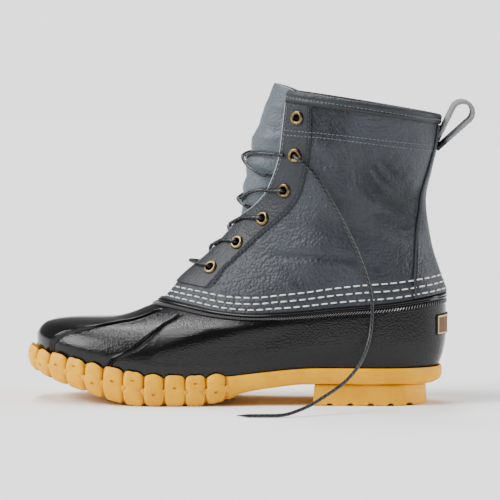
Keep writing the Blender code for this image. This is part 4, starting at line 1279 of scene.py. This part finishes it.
def fold_relief(points, quiet):
    """Rise of the folds at points of the shaft; quiet is 1 where another layer lies on it."""
    relief = np.zeros(points.shape[:-1])
    for fold in FOLDS:
        start = np.array((fold.x, fold.z))
        way = np.array((fold.to_x, fold.to_z)) - start
        gap = points[..., [0, 2]] - start
        share = np.clip((gap @ way) / (way @ way), 0.0, 1.0)
        off = np.linalg.norm(gap - share[..., None] * way, axis=-1)
        fade = 1.0 - 0.85 * np.abs(2.0 * share - 1.0) ** 3
        relief += fold.rise * fade * np.exp(-((off / fold.half_width) ** 2))
    return relief * (1.0 - quiet)


def eyelet_keep(points, radius):
    """Faces of a grid that lie clear of the eyelet holes."""
    middle = face_middles(points)
    keep = np.ones(middle.shape[:2], bool)
    for side in (1, -1):
        for height in EYELET_ROWS:
            centre, normal, _, _ = eyelet_axes(height, side)
            gap = middle - centre
            deep = gap @ normal
            off = np.linalg.norm(gap - deep[..., None] * normal, axis=-1)
            keep &= (off > radius) | (np.abs(deep) > 8.0)
    return keep


def sewn_dip(rows, turns):
    """How far the three rim rows pull the leather in."""
    up = (rows - 1.0) * rise_scale(turns) - foot_lift(turns)
    return sum(SEWN_DIP * np.exp(-(((up - row) / 1.0) ** 2)) for row in RIM_ROWS)


def make_leather_shaft():
    low = np.linspace(LEATHER_BOTTOM, SEWN_TOP, SEWN_ROWS)
    heights = np.concatenate((low, np.linspace(SEWN_TOP, LEATHER_TOP, SHAFT_ROWS)[1:]))
    turns = np.array([shaft_turns(h) for h in heights])
    rows = np.broadcast_to(heights[:, None], turns.shape)
    base = last(rows, turns)
    place_on = np.arange(turns.shape[1])
    side = np.minimum(place_on, turns.shape[1] - 1 - place_on)
    quiet = 1.0 - ease(side, SIDE_COLUMNS[0], SIDE_COLUMNS[0] + 14)
    quiet = np.maximum(quiet, ease(side, sum(SIDE_COLUMNS[:2]) - 14, sum(SIDE_COLUMNS[:2])))
    quiet = np.maximum(quiet[None, :], ease(heights, 1.86, 1.92)[:, None])
    quiet = np.maximum(quiet, 1.0 - ease(heights, 1.085, 1.12)[:, None])
    relief = fold_relief(base, quiet) - sewn_dip(rows, turns)
    outer = skin(rows, turns, relief)
    inner = skin(rows, turns, relief - LEATHER_WALL)
    build = Build()
    wall(build, outer, inner, keep=eyelet_keep(outer, 3.1))
    build.piece("leather_quarters", SHAFT_LEATHER, "pebbled_leather", ["leather_shaft"], weld=0.002)


def strip_faces(heights, turns, edge_gap, thickness):
    """Outer and inner grids of a strip on the shaft, its outer edges rounded over."""
    rows = np.broadcast_to(np.asarray(heights)[:, None], turns.shape)
    fall = thickness * 0.55 * np.clip(1.0 - edge_gap, 0.0, 1.0) ** 2
    outer = skin(rows, turns, STRIP_GAP + thickness - fall)
    return outer, skin(rows, turns, np.full(turns.shape, 0.08))


def make_eyestays():
    """Facings that carry the eyelets: a pale cut edge in front, thinned to nothing at the back."""
    heights = np.linspace(EYESTAY_FOOT, BINDING_FOOT, 150)
    columns = 56
    skived = 0.18 + 0.82 * ease(np.arange(columns), columns - 1, columns - 9)
    thick = 0.12 + (STRIP_FACE - 0.12) * skived
    thick[0] -= 0.25
    for name, side in (("lateral", 1), ("medial", -1)):
        turns = []
        for h in heights:
            front = max(float(throat("half_gap", h)) if h > THROAT[0].height else 0.0, EYESTAY_MIDDLE_GAP)
            places = np.linspace(front, float(throat("stay", h)), columns)
            turns.append(side * turn_at_arc(h, places, math.pi))
        turns = np.array(turns)
        rows = np.broadcast_to(heights[:, None], turns.shape)
        outer = skin(rows, turns, np.broadcast_to(thick, turns.shape))
        inner = skin(rows, turns, np.full(turns.shape, 0.05))
        front = np.zeros(columns)
        front[:3] = (1.0, 0.8, 0.1)
        tone = np.broadcast_to(front, turns.shape)
        build = Build()
        wall(build, outer, inner, outer_tone=tone, inner_tone=tone, keep=eyelet_keep(outer, 3.0))
        build.piece("eyestay_strip_" + name, STAY_LEATHER, "smooth_leather", ["eyestay_" + name], weld=0.002)


PIPING_RADIUS = 0.75


def make_backstay():
    heights = np.linspace(LEATHER_BOTTOM, STRIP_TOP, 120)
    turns = []
    for h in heights:
        outer = spread((float(backstay_turn(h)), 0.0), (34,))
        turns.append(np.concatenate((outer, -outer[-2::-1])))
    turns = np.array(turns)
    count = turns.shape[1]
    gap = np.minimum(np.arange(count), count - 1 - np.arange(count))
    outer, inner = strip_faces(heights, turns, gap[None, :] * 0.6, STRIP_WALL)
    build = Build()
    wall(build, outer, inner)
    build.piece("backstay_strip", SHAFT_LEATHER, "smooth_leather", ["backstay"], weld=0.002)
    piping = Build()
    for side in (1.0, -1.0):
        line = skin(heights, side * turns[:, 0], np.full(len(heights), PIPING_RADIUS))
        round_tube(piping, resample(line, 1.2), PIPING_RADIUS, 8)
    piping.piece("backstay_piping", PIPING)


def round_tube(build, route, radius, sides):
    """Plain round cord along a route, closed at its ends."""
    ahead, side, up = frames_along(route)
    angle = np.arange(sides) * FULL_TURN / sides
    ring = side[:, None] * np.cos(angle)[None, :, None] + up[:, None] * np.sin(angle)[None, :, None]
    ends = [np.repeat(end, sides, 1) for end in (route[:1, None], route[-1:, None])]
    points = np.concatenate((ends[0], route[:, None] + ring * radius, ends[1]))
    build.grid(points, wrap_columns=True)


def make_collar_binding():
    """Folded strip over the top edge, rolled at the top and pressed in along its seam."""
    near, far = 0.12, STRIP_GAP + BINDING_WALL
    inside = -LEATHER_WALL
    section = [(BINDING_FOOT, near), (BINDING_FOOT, far - 0.35), (BINDING_FOOT + 0.004, far)]
    section += [(h, far + 0.3 * math.sin(math.pi * k / 6)) for k, h in enumerate(np.linspace(1.957, 1.97, 7))]
    section += [(BINDING_SEAM, far - 0.25)]
    section += [(h, far + r) for h, r in ((1.977, 0.05), (1.984, 0.3), (1.991, 0.25))]
    for k in range(1, 10):
        angle = math.pi * k / 10
        half = (far - inside + far) / 2.0
        section.append((1.993 + 0.011 * math.sin(angle), inside / 2.0 + half * math.cos(angle)))
    section += [(1.99, inside - far), (1.97, inside - far), (BINDING_FOOT + 0.004, inside - far + 0.05)]
    section += [(BINDING_FOOT, inside - far + 0.4), (BINDING_FOOT, inside - near)]
    section += [(1.9875, inside - near), (1.9875, near)]
    rows = []
    for height, depth in section:
        turns = shaft_turns(height)
        rows.append(skin(np.full(len(turns), height), turns, np.full(len(turns), depth)))
    rows = np.array(rows)
    # The rows along the foot take the black edge tone, a painted shadow.
    tone = np.zeros((len(section), 1))
    tone[:4] = 1.0
    build = Build()
    build.grid(rows, tone, wrap_rows=True)
    for end in (0, -1):
        build.cap(rows[:, end], rows[:, end].mean(axis=0))
    build.piece("collar_strip", BINDING_LEATHER, "smooth_leather", ["collar_binding"], weld=0.002)


# Soft folds of the tongue between the laces: height, how far out each stands, half width and slope in height.
TongueFold = namedtuple("TongueFold", "height rise half_width slope")
TONGUE_FOLDS = (
    TongueFold(1.60, 0.9, 0.018, 0.02),
    TongueFold(1.645, -0.9, 0.014, -0.02),
    TongueFold(1.70, 1.1, 0.02, 0.015),
    TongueFold(1.745, -1.1, 0.014, 0.03),
    TongueFold(1.79, 0.8, 0.016, -0.03),
    TongueFold(1.85, -0.8, 0.02, 0.02),
    TongueFold(1.92, 0.6, 0.02, -0.02),
)


TONGUE_ROWS = 130
TONGUE_COLUMNS = 91


def make_tongue():
    rows, insides = [], []
    parts = np.linspace(-1.0, 1.0, TONGUE_COLUMNS)
    for share in np.linspace(0.0, 1.0, TONGUE_ROWS):
        height = TONGUE_BOTTOM + (TONGUE_TOP - TONGUE_CORNER_DROP * parts**4 - TONGUE_BOTTOM) * share
        gap = throat("half_gap", height)
        across = -(gap + TONGUE_TUCK) * parts
        depth = tongue_depth(height, across)
        open_part = ease(np.clip(gap - np.abs(across), 0.0, None), 2.0, 9.0)
        for fold in TONGUE_FOLDS:
            off = (height - fold.height - fold.slope * parts) / fold.half_width
            depth = depth + fold.rise * np.exp(-(off**2)) * open_part
        turns = np.array([throat_turn(h, a) for h, a in zip(height, across)])
        rim = float(ease(share, 1.0, 0.985))
        rows.append(skin(height, turns, depth - 0.5 * (1.0 - rim)))
        insides.append(skin(height, turns, depth - TONGUE_WALL + 0.5 * (1.0 - rim)))
    build = Build()
    tone = np.zeros((TONGUE_ROWS, TONGUE_COLUMNS))
    tone[-1:] = 0.6
    wall(build, np.array(rows), np.array(insides), outer_tone=tone, inner_tone=tone)
    build.piece("soft_tongue", TONGUE_LEATHER, "tongue_leather", ["tongue"], weld=0.002)


# Eyelets


def make_eyelets():
    """Rolled brass rings with a barrel through the leather."""
    seat = STRIP_FACE + 0.02
    rise = EYELET_SEAT_GAP + EYELET_FLANGE_RISE
    wide, bore = EYELET_FLANGE_RADIUS, EYELET_BORE_RADIUS + 0.25
    profile = [(bore, -LEATHER_WALL - 0.3), (EYELET_BARREL_RADIUS + 0.7, -LEATHER_WALL - 0.35)]
    profile += [(EYELET_BARREL_RADIUS + 0.8, -LEATHER_WALL - 0.05), (EYELET_BARREL_RADIUS, -LEATHER_WALL)]
    profile += [(EYELET_BARREL_RADIUS, seat), (wide - 0.15, seat)]
    # Painted shade: full in the bore, strong on the hidden barrel, and fading from the rim's feet to its
    # crest.
    dark = [1.0, 0.6, 0.6, 0.6, 0.6, 0.9]
    middle, half = (wide + bore) / 2.0 - 0.1, (wide - bore) / 2.0
    for angle in np.linspace(0.0, math.pi * 0.94, 15):
        out = half * math.cos(angle) + (0.1 if angle < math.pi / 2.0 else 0.0) * math.cos(angle)
        profile.append((middle + out, seat + 0.15 + (rise - 0.15) * math.sin(angle)))
        dark.append(0.85 * (1.0 - math.sin(angle)) ** 0.7)
    profile += [(bore, seat + 0.2), (bore, -0.5)]
    dark = np.array(dark + [1.0, 1.0])
    angles = np.arange(EYELET_SIDES) * FULL_TURN / EYELET_SIDES
    for name, side in (("lateral", 1), ("medial", -1)):
        build = Build()
        for height in EYELET_ROWS:
            centre, normal, along, other = eyelet_axes(height, side)
            ring = along * np.cos(angles)[:, None] + other * np.sin(angles)[:, None]
            rows = np.array([centre + ring * r + normal * d for r, d in profile])
            build.grid(rows, dark[:, None], wrap_rows=True, wrap_columns=True)
        nodes = [f"eyelet_{name}_{k + 1}" for k in range(EYELETS)]
        build.piece("brass_eyelets_" + name, BRASS, "antique_brass", nodes, weld=0.001)


# Lacing

LACE_TUCK_SHARE = 0.4
LACE_TUCK_IN = 5.0


def strand(start, end, over):
    """One strand from an eyelet at (height, across), over the tongue, then under the throat's far edge."""
    count = 80
    share = np.linspace(0.0, 1.0, count)
    heights = start[0] + (end[0] - start[0]) * ease(share, 0.32, 0.9)
    across = start[1] + (end[1] - start[1]) * share
    gap = throat("half_gap", heights)
    reach = throat("eyelet", heights)
    on_tongue = tongue_depth(heights, across) + LACE_RADIUS + 0.15 + over
    outside = (np.abs(across) - gap) / np.maximum(reach - gap, 1.0)
    near_side = across * start[1] > 0.0
    edge = STRIP_FACE + LACE_RADIUS + 0.1
    climb = edge + (LACE_OVER_EYELET - edge) * ease(outside, 0.25, 0.7)
    lift = np.where(near_side & (outside > -0.12), np.maximum(climb, on_tongue), on_tongue)
    far = (~near_side) & (np.abs(across) > gap - 4.0)
    under = np.minimum(on_tongue, -LEATHER_WALL - LACE_RADIUS * 0.4)
    lift = np.where(far, under, lift)
    kernel = np.ones(7) / 7.0
    lift = np.convolve(np.pad(lift, 3, "edge"), kernel, "valid")
    return np.array([throat_point(h, a, d) for h, a, d in zip(heights, across, lift)])


def into_bore(height, side):
    """Points from above an eyelet down into its bore."""
    centre, normal, _, _ = eyelet_axes(height, side)
    return [centre + normal * d for d in (LACE_OVER_EYELET - 0.3, LACE_OVER_EYELET - 1.6, 0.4, -LEATHER_WALL)]


def make_lacing():
    build = Build()
    first = EYELET_ROWS[0]
    reach = float(throat("eyelet", first))
    bar = [throat_point(first, a, LACE_OVER_EYELET + 0.1) for a in np.linspace(reach - 3.0, -reach + 3.0, 30)]
    bar = into_bore(first, 1)[::-1] + bar + into_bore(first, -1)
    lace_tube(build, curve_through(bar, LACE_STEP))
    for k in range(1, LACED_EYELETS):
        top = EYELET_ROWS[k]
        low = EYELET_ROWS[k - 1] + LACE_TUCK_SHARE * (top - EYELET_ROWS[k - 1])
        tucked = k == LACED_EYELETS - 1
        for side in (1, -1):
            start = float(throat("eyelet", top)) - 3.2
            if tucked:
                start = float(throat("half_gap", top)) + LACE_TUCK_IN
            end = -(float(throat("half_gap", low)) + LACE_TUCK_IN)
            over = 0.0 if side == 1 else 2.0 * LACE_RADIUS
            route = list(strand((top, side * start), (low, side * end), over))
            if not tucked:
                route = into_bore(top, side)[::-1] + route
            lace_tube(build, curve_through(route, LACE_STEP))
    nodes = ["lace_bar_1"] + [f"lace_cross_{k + 1}" for k in range(1, LACED_EYELETS)]
    build.piece("crossed_lacing", LACE, "lace", nodes, weld=0.001)


# Pull loop, heel label and stitching

LOOP_WIDTH = 13.0
LOOP_THICKNESS = 3.0
LOOP_TWIST = math.radians(10.0)
# Reach of the painted shadow up the loop from its base.
LOOP_BASE_SHADOW = 9.0
LOOP_RADIUS = 7.5
LOOP_REACH = 27.0
LOOP_LEAN = math.radians(52.0)
LOOP_BASE = 1.86
LOOP_LIMB_GAP = 0.6
LOOP_UPPER_START = 0.0
LOOP_LOWER_START = -5.2
LOOP_COLUMNS = 45
WEAVE_ACROSS = 2.2
WEAVE_ALONG = 3.0
WEAVE_RISE = 0.22


def make_pull_loop():
    base = skin(np.array([LOOP_BASE]), np.array([0.0]), np.array([STRIP_FACE]))[0][[0, 2]]
    lean = np.array((math.cos(LOOP_LEAN), math.sin(LOOP_LEAN)))
    lower = np.array((lean[1], -lean[0]))
    limb = LOOP_THICKNESS / 2.0 + LOOP_LIMB_GAP / 2.0
    centre = base + lean * LOOP_REACH
    past = math.asin((LOOP_RADIUS - limb) / LOOP_REACH)
    bend = np.linspace(-math.pi / 2.0 - past, math.pi / 2.0 + past, 40)
    arc = [centre + LOOP_RADIUS * (lean * math.cos(a) - lower * math.sin(a)) for a in bend]
    first = base + lean * LOOP_LOWER_START + lower * limb
    final = base + lean * LOOP_UPPER_START - lower * limb
    flat = np.array([first] + arc + [final])
    path = resample(np.stack((flat[:, 0], np.zeros(len(flat)), flat[:, 1]), axis=1), 0.45)
    ahead = np.gradient(path, axis=0)
    ahead /= np.linalg.norm(ahead, axis=1, keepdims=True)
    out = np.stack((ahead[:, 2], np.zeros(len(path)), -ahead[:, 0]), axis=1)
    half, edge = LOOP_THICKNESS / 2.0, LOOP_WIDTH / 2.0
    across = np.linspace(-edge + 0.5, edge - 0.5, LOOP_COLUMNS)
    along = arc_along(path)
    weave = np.cos(FULL_TURN * across[None, :] / WEAVE_ACROSS)
    weave = weave * np.cos(FULL_TURN * along[:, None] / WEAVE_ALONG)
    lip = np.array((0.0, edge - 0.1, 0.0))
    rows = []
    for k, (point, way) in enumerate(zip(path, out)):
        face = half - 0.24 + WEAVE_RISE * weave[k]
        bevel = way * half * 0.5
        upper = point + way * face[:, None] + np.stack((0 * across, across, 0 * across), axis=1)
        under = point - way * face[::-1, None] + np.stack((0 * across, across[::-1], 0 * across), axis=1)
        right = point + np.array([bevel + lip, (0.0, edge, 0.0), lip - bevel])
        left = point + np.array([-bevel - lip, (0.0, -edge, 0.0), bevel - lip])
        rows.append(np.concatenate((upper, right, under, left)))
    rows = np.array(rows)
    axis = np.array((lean[0], 0.0, lean[1]))
    gap = rows - np.array((base[0], 0.0, base[1]))
    turned = np.cross(axis, gap)
    rows = rows + turned * math.sin(LOOP_TWIST) + np.cross(axis, turned) * (1.0 - math.cos(LOOP_TWIST))
    tone = np.zeros(rows.shape[:2])
    back = LOOP_COLUMNS + len(right)
    # Painted shade in the weave's dips, and a painted shadow at the base where the loop meets the backstay.
    tone[:, :LOOP_COLUMNS] = np.clip(-weave, 0.0, 1.0) * 0.9
    tone[:, back:back + LOOP_COLUMNS] = np.clip(-weave[:, ::-1], 0.0, 1.0) * 0.9
    tone = np.maximum(tone, 1.0 - ease(gap @ axis, 0.0, LOOP_BASE_SHADOW))
    build = Build()
    build.grid(rows, tone, wrap_columns=True)
    for end in (0, -1):
        build.cap(rows[end], path[end])
    build.piece("webbing_loop", WEBBING, "webbing", ["pull_loop"], weld=0.002)


LABEL_FOOT = 0.46
LABEL_TOP = 0.745
LABEL_HALF = 20.5
LABEL_BORDER = 2.0
LABEL_EDGE = 0.9
LABEL_CORNER = 1.6
LABEL_ROWS = 60


def make_heel_label():
    """Plain patch with a raised pale border round a brown field."""
    heights = np.linspace(LABEL_FOOT, LABEL_TOP, LABEL_ROWS)
    places = np.linspace(-1.0, 1.0, 121)
    turns = np.array([np.sign(places) * turn_at_arc(h, np.abs(places) * LABEL_HALF, 0.0) for h in heights])
    rows = np.broadcast_to(heights[:, None], turns.shape)
    tall = float(np.linalg.norm(last(LABEL_TOP, 0.001) - last(LABEL_FOOT, 0.001)))
    row = np.arange(LABEL_ROWS)
    off_row = np.minimum(row, row[::-1])[:, None] * tall / row[-1]
    off_side = (LABEL_HALF * (1.0 - np.abs(places)))[None, :]
    gap_row = np.clip(LABEL_CORNER - off_row, 0.0, None)
    gap_side = np.clip(LABEL_CORNER - off_side, 0.0, None)
    in_corner = (gap_row > 0.0) & (gap_side > 0.0)
    edge = np.minimum(off_row, off_side)
    edge = np.where(in_corner, LABEL_CORNER - np.hypot(gap_row, gap_side), edge)
    border = 1.0 - ease(edge, LABEL_BORDER - 0.25, LABEL_BORDER + 0.25)
    rise = 0.9 + 0.4 * border * ease(edge, -0.2, 0.7) - 0.5 * (1.0 - ease(edge, 0.0, 0.6))
    outer = skin(rows, turns, rise)
    inner = skin(rows, turns, np.full(turns.shape, 0.05))
    build = Build()
    tone = 0.55 * border + 0.45 * (1.0 - ease(edge, LABEL_EDGE - 0.2, LABEL_EDGE + 0.2))
    wall(build, outer, inner, outer_tone=tone, inner_tone=tone, keep=face_middles(edge) > 0.0)
    build.piece("heel_patch", LABEL, "label", ["heel_label"], weld=0.002)


Stitch = namedtuple("Stitch", "pitch length half_wide rise")
RIM_STITCH = Stitch(6.6, 5.0, 0.55, 0.5)
BINDING_STITCH = Stitch(2.9, 2.2, 0.32, 0.3)
STAY_STITCH = Stitch(3.3, 2.4, 0.4, 0.2)
FRONT_STITCH = Stitch(3.7, 2.2, 0.32, 0.25)
BACKSTAY_STITCH = Stitch(2.9, 2.2, 0.32, 0.25)
SEAM_STITCH = Stitch(2.9, 2.2, 0.3, 0.25)
STAY_INSET = 1.5
FRONT_INSET = 2.6
BACKSTAY_INSET = 2.0
STITCH_SIDES = 7
RIM_STITCH_HEIGHT = 1.06
# Heights of the rows below the collar, at the throat and at the back.
SEAM_ROWS = ((1.841, 1.839), (1.822, 1.809))


def stitch_row(build, line, normals, stitch):
    """Sewn row along a line: rounded stitches that rise out of the leather and dip back into it."""
    arc = arc_along(line)
    count = max(int(round(arc[-1] / stitch.pitch)), 1)
    starts = (np.arange(count) + 0.5) * arc[-1] / count
    angle = np.arange(STITCH_SIDES) * FULL_TURN / STITCH_SIDES
    shares = np.array((-1.0, -0.92, -0.6, 0.0, 0.6, 0.92, 1.0))
    wide = np.array((0.05, 0.62, 0.95, 1.0, 0.95, 0.62, 0.05))
    high = np.array((-0.5, 0.1, 0.75, 1.0, 0.75, 0.1, -0.5))
    for middle in starts:
        at = middle + shares * stitch.length / 2.0
        points = np.stack([np.interp(at, arc, line[:, c]) for c in range(3)], axis=1)
        up = np.stack([np.interp(at, arc, normals[:, c]) for c in range(3)], axis=1)
        way = points[-1] - points[0]
        side = np.cross(way, up)
        side /= np.linalg.norm(side, axis=1, keepdims=True)
        points = points + up * (stitch.rise * high)[:, None]
        ring = side[:, None] * (np.cos(angle) * stitch.half_wide)[None, :, None]
        ring = ring + up[:, None] * (np.sin(angle) * stitch.half_wide * 0.8)[None, :, None]
        build.grid(points[:, None] + ring * wide[:, None, None], wrap_columns=True)


def surface_line(heights, turns, depths):
    """Points at depths off the last, with its normals there."""
    values = [np.asarray(v, float) for v in (heights, turns, depths)]
    heights, turns, depths = np.broadcast_arrays(*values)
    return skin(heights, turns, depths), normal_at(heights, turns)


def strip_line(heights, distances, start, side, depth):
    """Line up the shaft at distances round it from the throat's middle (start pi) or the back (0)."""
    turns = [float(turn_at_arc(h, d, start)) for h, d in zip(heights, distances)]
    return surface_line(heights, side * np.array(turns), depth)


def make_stitching():
    around = signed(np.linspace(0.02, FULL_TURN - 0.02, 1500))
    white = Build()
    backstay = float(backstay_turn(RIM_STITCH_HEIGHT))
    over = ease(np.abs(around), backstay + 0.01, backstay - 0.03)
    depths = over * (STRIP_FACE + SEWN_DIP) - SEWN_DIP
    for row in RIM_ROWS:
        line, normals = surface_line(above_foot(around, row), around, depths)
        stitch_row(white, line, normals, RIM_STITCH)
    white.piece("rim_stitches", WHITE_THREAD)
    fine = Build()
    dark = Build()
    turns = shaft_turns(BINDING_SEAM)
    line, normals = surface_line(BINDING_SEAM, turns, STRIP_GAP + BINDING_WALL - 0.25)
    stitch_row(fine, line, normals, BINDING_STITCH)
    for side in (1.0, -1.0):
        heights = np.linspace(EYESTAY_FOOT + 0.02, STRIP_TOP - 0.004, 160)
        stays = throat("stay", heights) - STAY_INSET
        line, normals = strip_line(heights, stays, math.pi, side, STRIP_FACE - 0.1)
        stitch_row(dark, line, normals, STAY_STITCH)
        heights = heights[16:]
        fronts = np.maximum(throat("half_gap", heights), 1.2) + FRONT_INSET
        line, normals = strip_line(heights, fronts, math.pi, side, STRIP_FACE)
        stitch_row(fine, line, normals, FRONT_STITCH)
        heights = np.linspace(LEATHER_BOTTOM + 0.1, STRIP_TOP - 0.004, 160)
        backs = along_table(BACKSTAY, "height", "half_width", heights) - BACKSTAY_INSET
        line, normals = strip_line(heights, backs, 0.0, side, STRIP_FACE)
        stitch_row(fine, line, normals, BACKSTAY_STITCH)
        for front, back in SEAM_ROWS:
            start = throat_turn(front, float(throat("half_gap", front)) + 2.0)
            edge = throat_turn(front, float(throat("stay", front)))
            seam = np.linspace(start, float(backstay_turn(back)) + 0.01, 300)
            share = np.linspace(0.0, 1.0, 300)
            heights = front + (back - front) * ease(share, 0.2, 1.0)
            depths = ease(seam, edge - 0.02, edge) * STRIP_FACE
            line, normals = surface_line(heights, side * seam, depths)
            relief = fold_relief(line, ease(seam, edge - 0.2, edge))
            stitch_row(fine, line + normals * relief[:, None], normals, SEAM_STITCH)
    fine.piece("fine_stitches", GREY_THREAD)
    dark.piece("dark_stitches", DARK_THREAD)


# Studio

# Light from the room at the horizon and higher up, and the share of it that is left on the near side.
HORIZON_LIGHT = 2.08
ROOM_LIGHT = 0.3
NEAR_SHARE = 0.32
FLOOR_RINGS = (0.0, 400.0, 1500.0, 5000.0, 14000.0)
FLOOR_SIDES = 96
FLOOR_DROP = 0.02
Sun = namedtuple("Sun", "name toward strength spread")
SUNS = (
    Sun("left_light", (-0.76, -0.36, 0.62), 4.5, 30.0),
    Sun("right_light", (0.9, 0.05, 0.38), 2.4, 30.0),
    Sun("top_light_1", (-0.22, -0.16, 0.96), 1.1, 14.0),
    Sun("top_light_2", (-0.15, 0.18, 0.97), 1.1, 14.0),
    Sun("top_light_3", (-0.12, 0.5, 0.86), 1.1, 14.0),
)


def soft_range(tree, source, low, high, to_low, to_high):
    """Node output that carries a value softly from one range to another."""
    node = tree.nodes.new("ShaderNodeMapRange")
    node.interpolation_type = "SMOOTHSTEP"
    for name, value in (("From Min", low), ("From Max", high), ("To Min", to_low), ("To Max", to_high)):
        node.inputs[name].default_value = value
    tree.links.new(source, node.inputs["Value"])
    return node.outputs[0]


def make_floor():
    angles = np.linspace(0.0, FULL_TURN, FLOOR_SIDES + 1)[:-1]
    circle = np.stack((np.cos(angles), np.sin(angles), 0.0 * angles), axis=1)
    rows = np.array([circle * r - (0.0, 0.0, FLOOR_DROP) for r in FLOOR_RINGS])
    mesh = bpy.data.meshes.new("pale_floor")
    faces = quads(len(FLOOR_RINGS), FLOOR_SIDES, wrap_columns=True)
    mesh.from_pydata((rows.reshape(-1, 3) * MM).tolist(), [], faces.tolist())
    mesh.materials.append(FLOOR)
    ground = bpy.data.objects.new("pale_floor", mesh)
    bpy.context.scene.collection.objects.link(ground)
    tidy(mesh, 0.01)


def make_studio():
    """Floor, a room that is bright round the horizon and dimmer behind the camera, and the lamps."""
    make_floor()
    world = bpy.data.worlds.new("studio")
    bpy.context.scene.world = world
    world.use_nodes = True
    tree = world.node_tree
    way = tree.nodes.new("ShaderNodeTexCoord")
    axes = tree.nodes.new("ShaderNodeSeparateXYZ")
    tree.links.new(way.outputs["Generated"], axes.inputs[0])
    rise = soft_range(tree, axes.outputs["Z"], 0.05, 0.2, HORIZON_LIGHT, ROOM_LIGHT)
    near = soft_range(tree, axes.outputs["Y"], -0.7, 0.3, NEAR_SHARE, 1.0)
    both = tree.nodes.new("ShaderNodeMath")
    both.operation = "MULTIPLY"
    tree.links.new(rise, both.inputs[0])
    tree.links.new(near, both.inputs[1])
    tree.links.new(both.outputs[0], tree.nodes["Background"].inputs["Strength"])
    tree.nodes["Background"].inputs["Color"].default_value = (1.0, 1.0, 1.0, 1.0)
    for sun in SUNS:
        add_sun(*sun)


make_camera()
make_lace_end()
make_studio()
make_outsole()
make_heel()
make_insole()
make_rubber_lower()
make_leather_shaft()
make_eyestays()
make_backstay()
make_collar_binding()
make_tongue()
make_eyelets()
make_lacing()
make_pull_loop()
make_heel_label()
make_stitching()
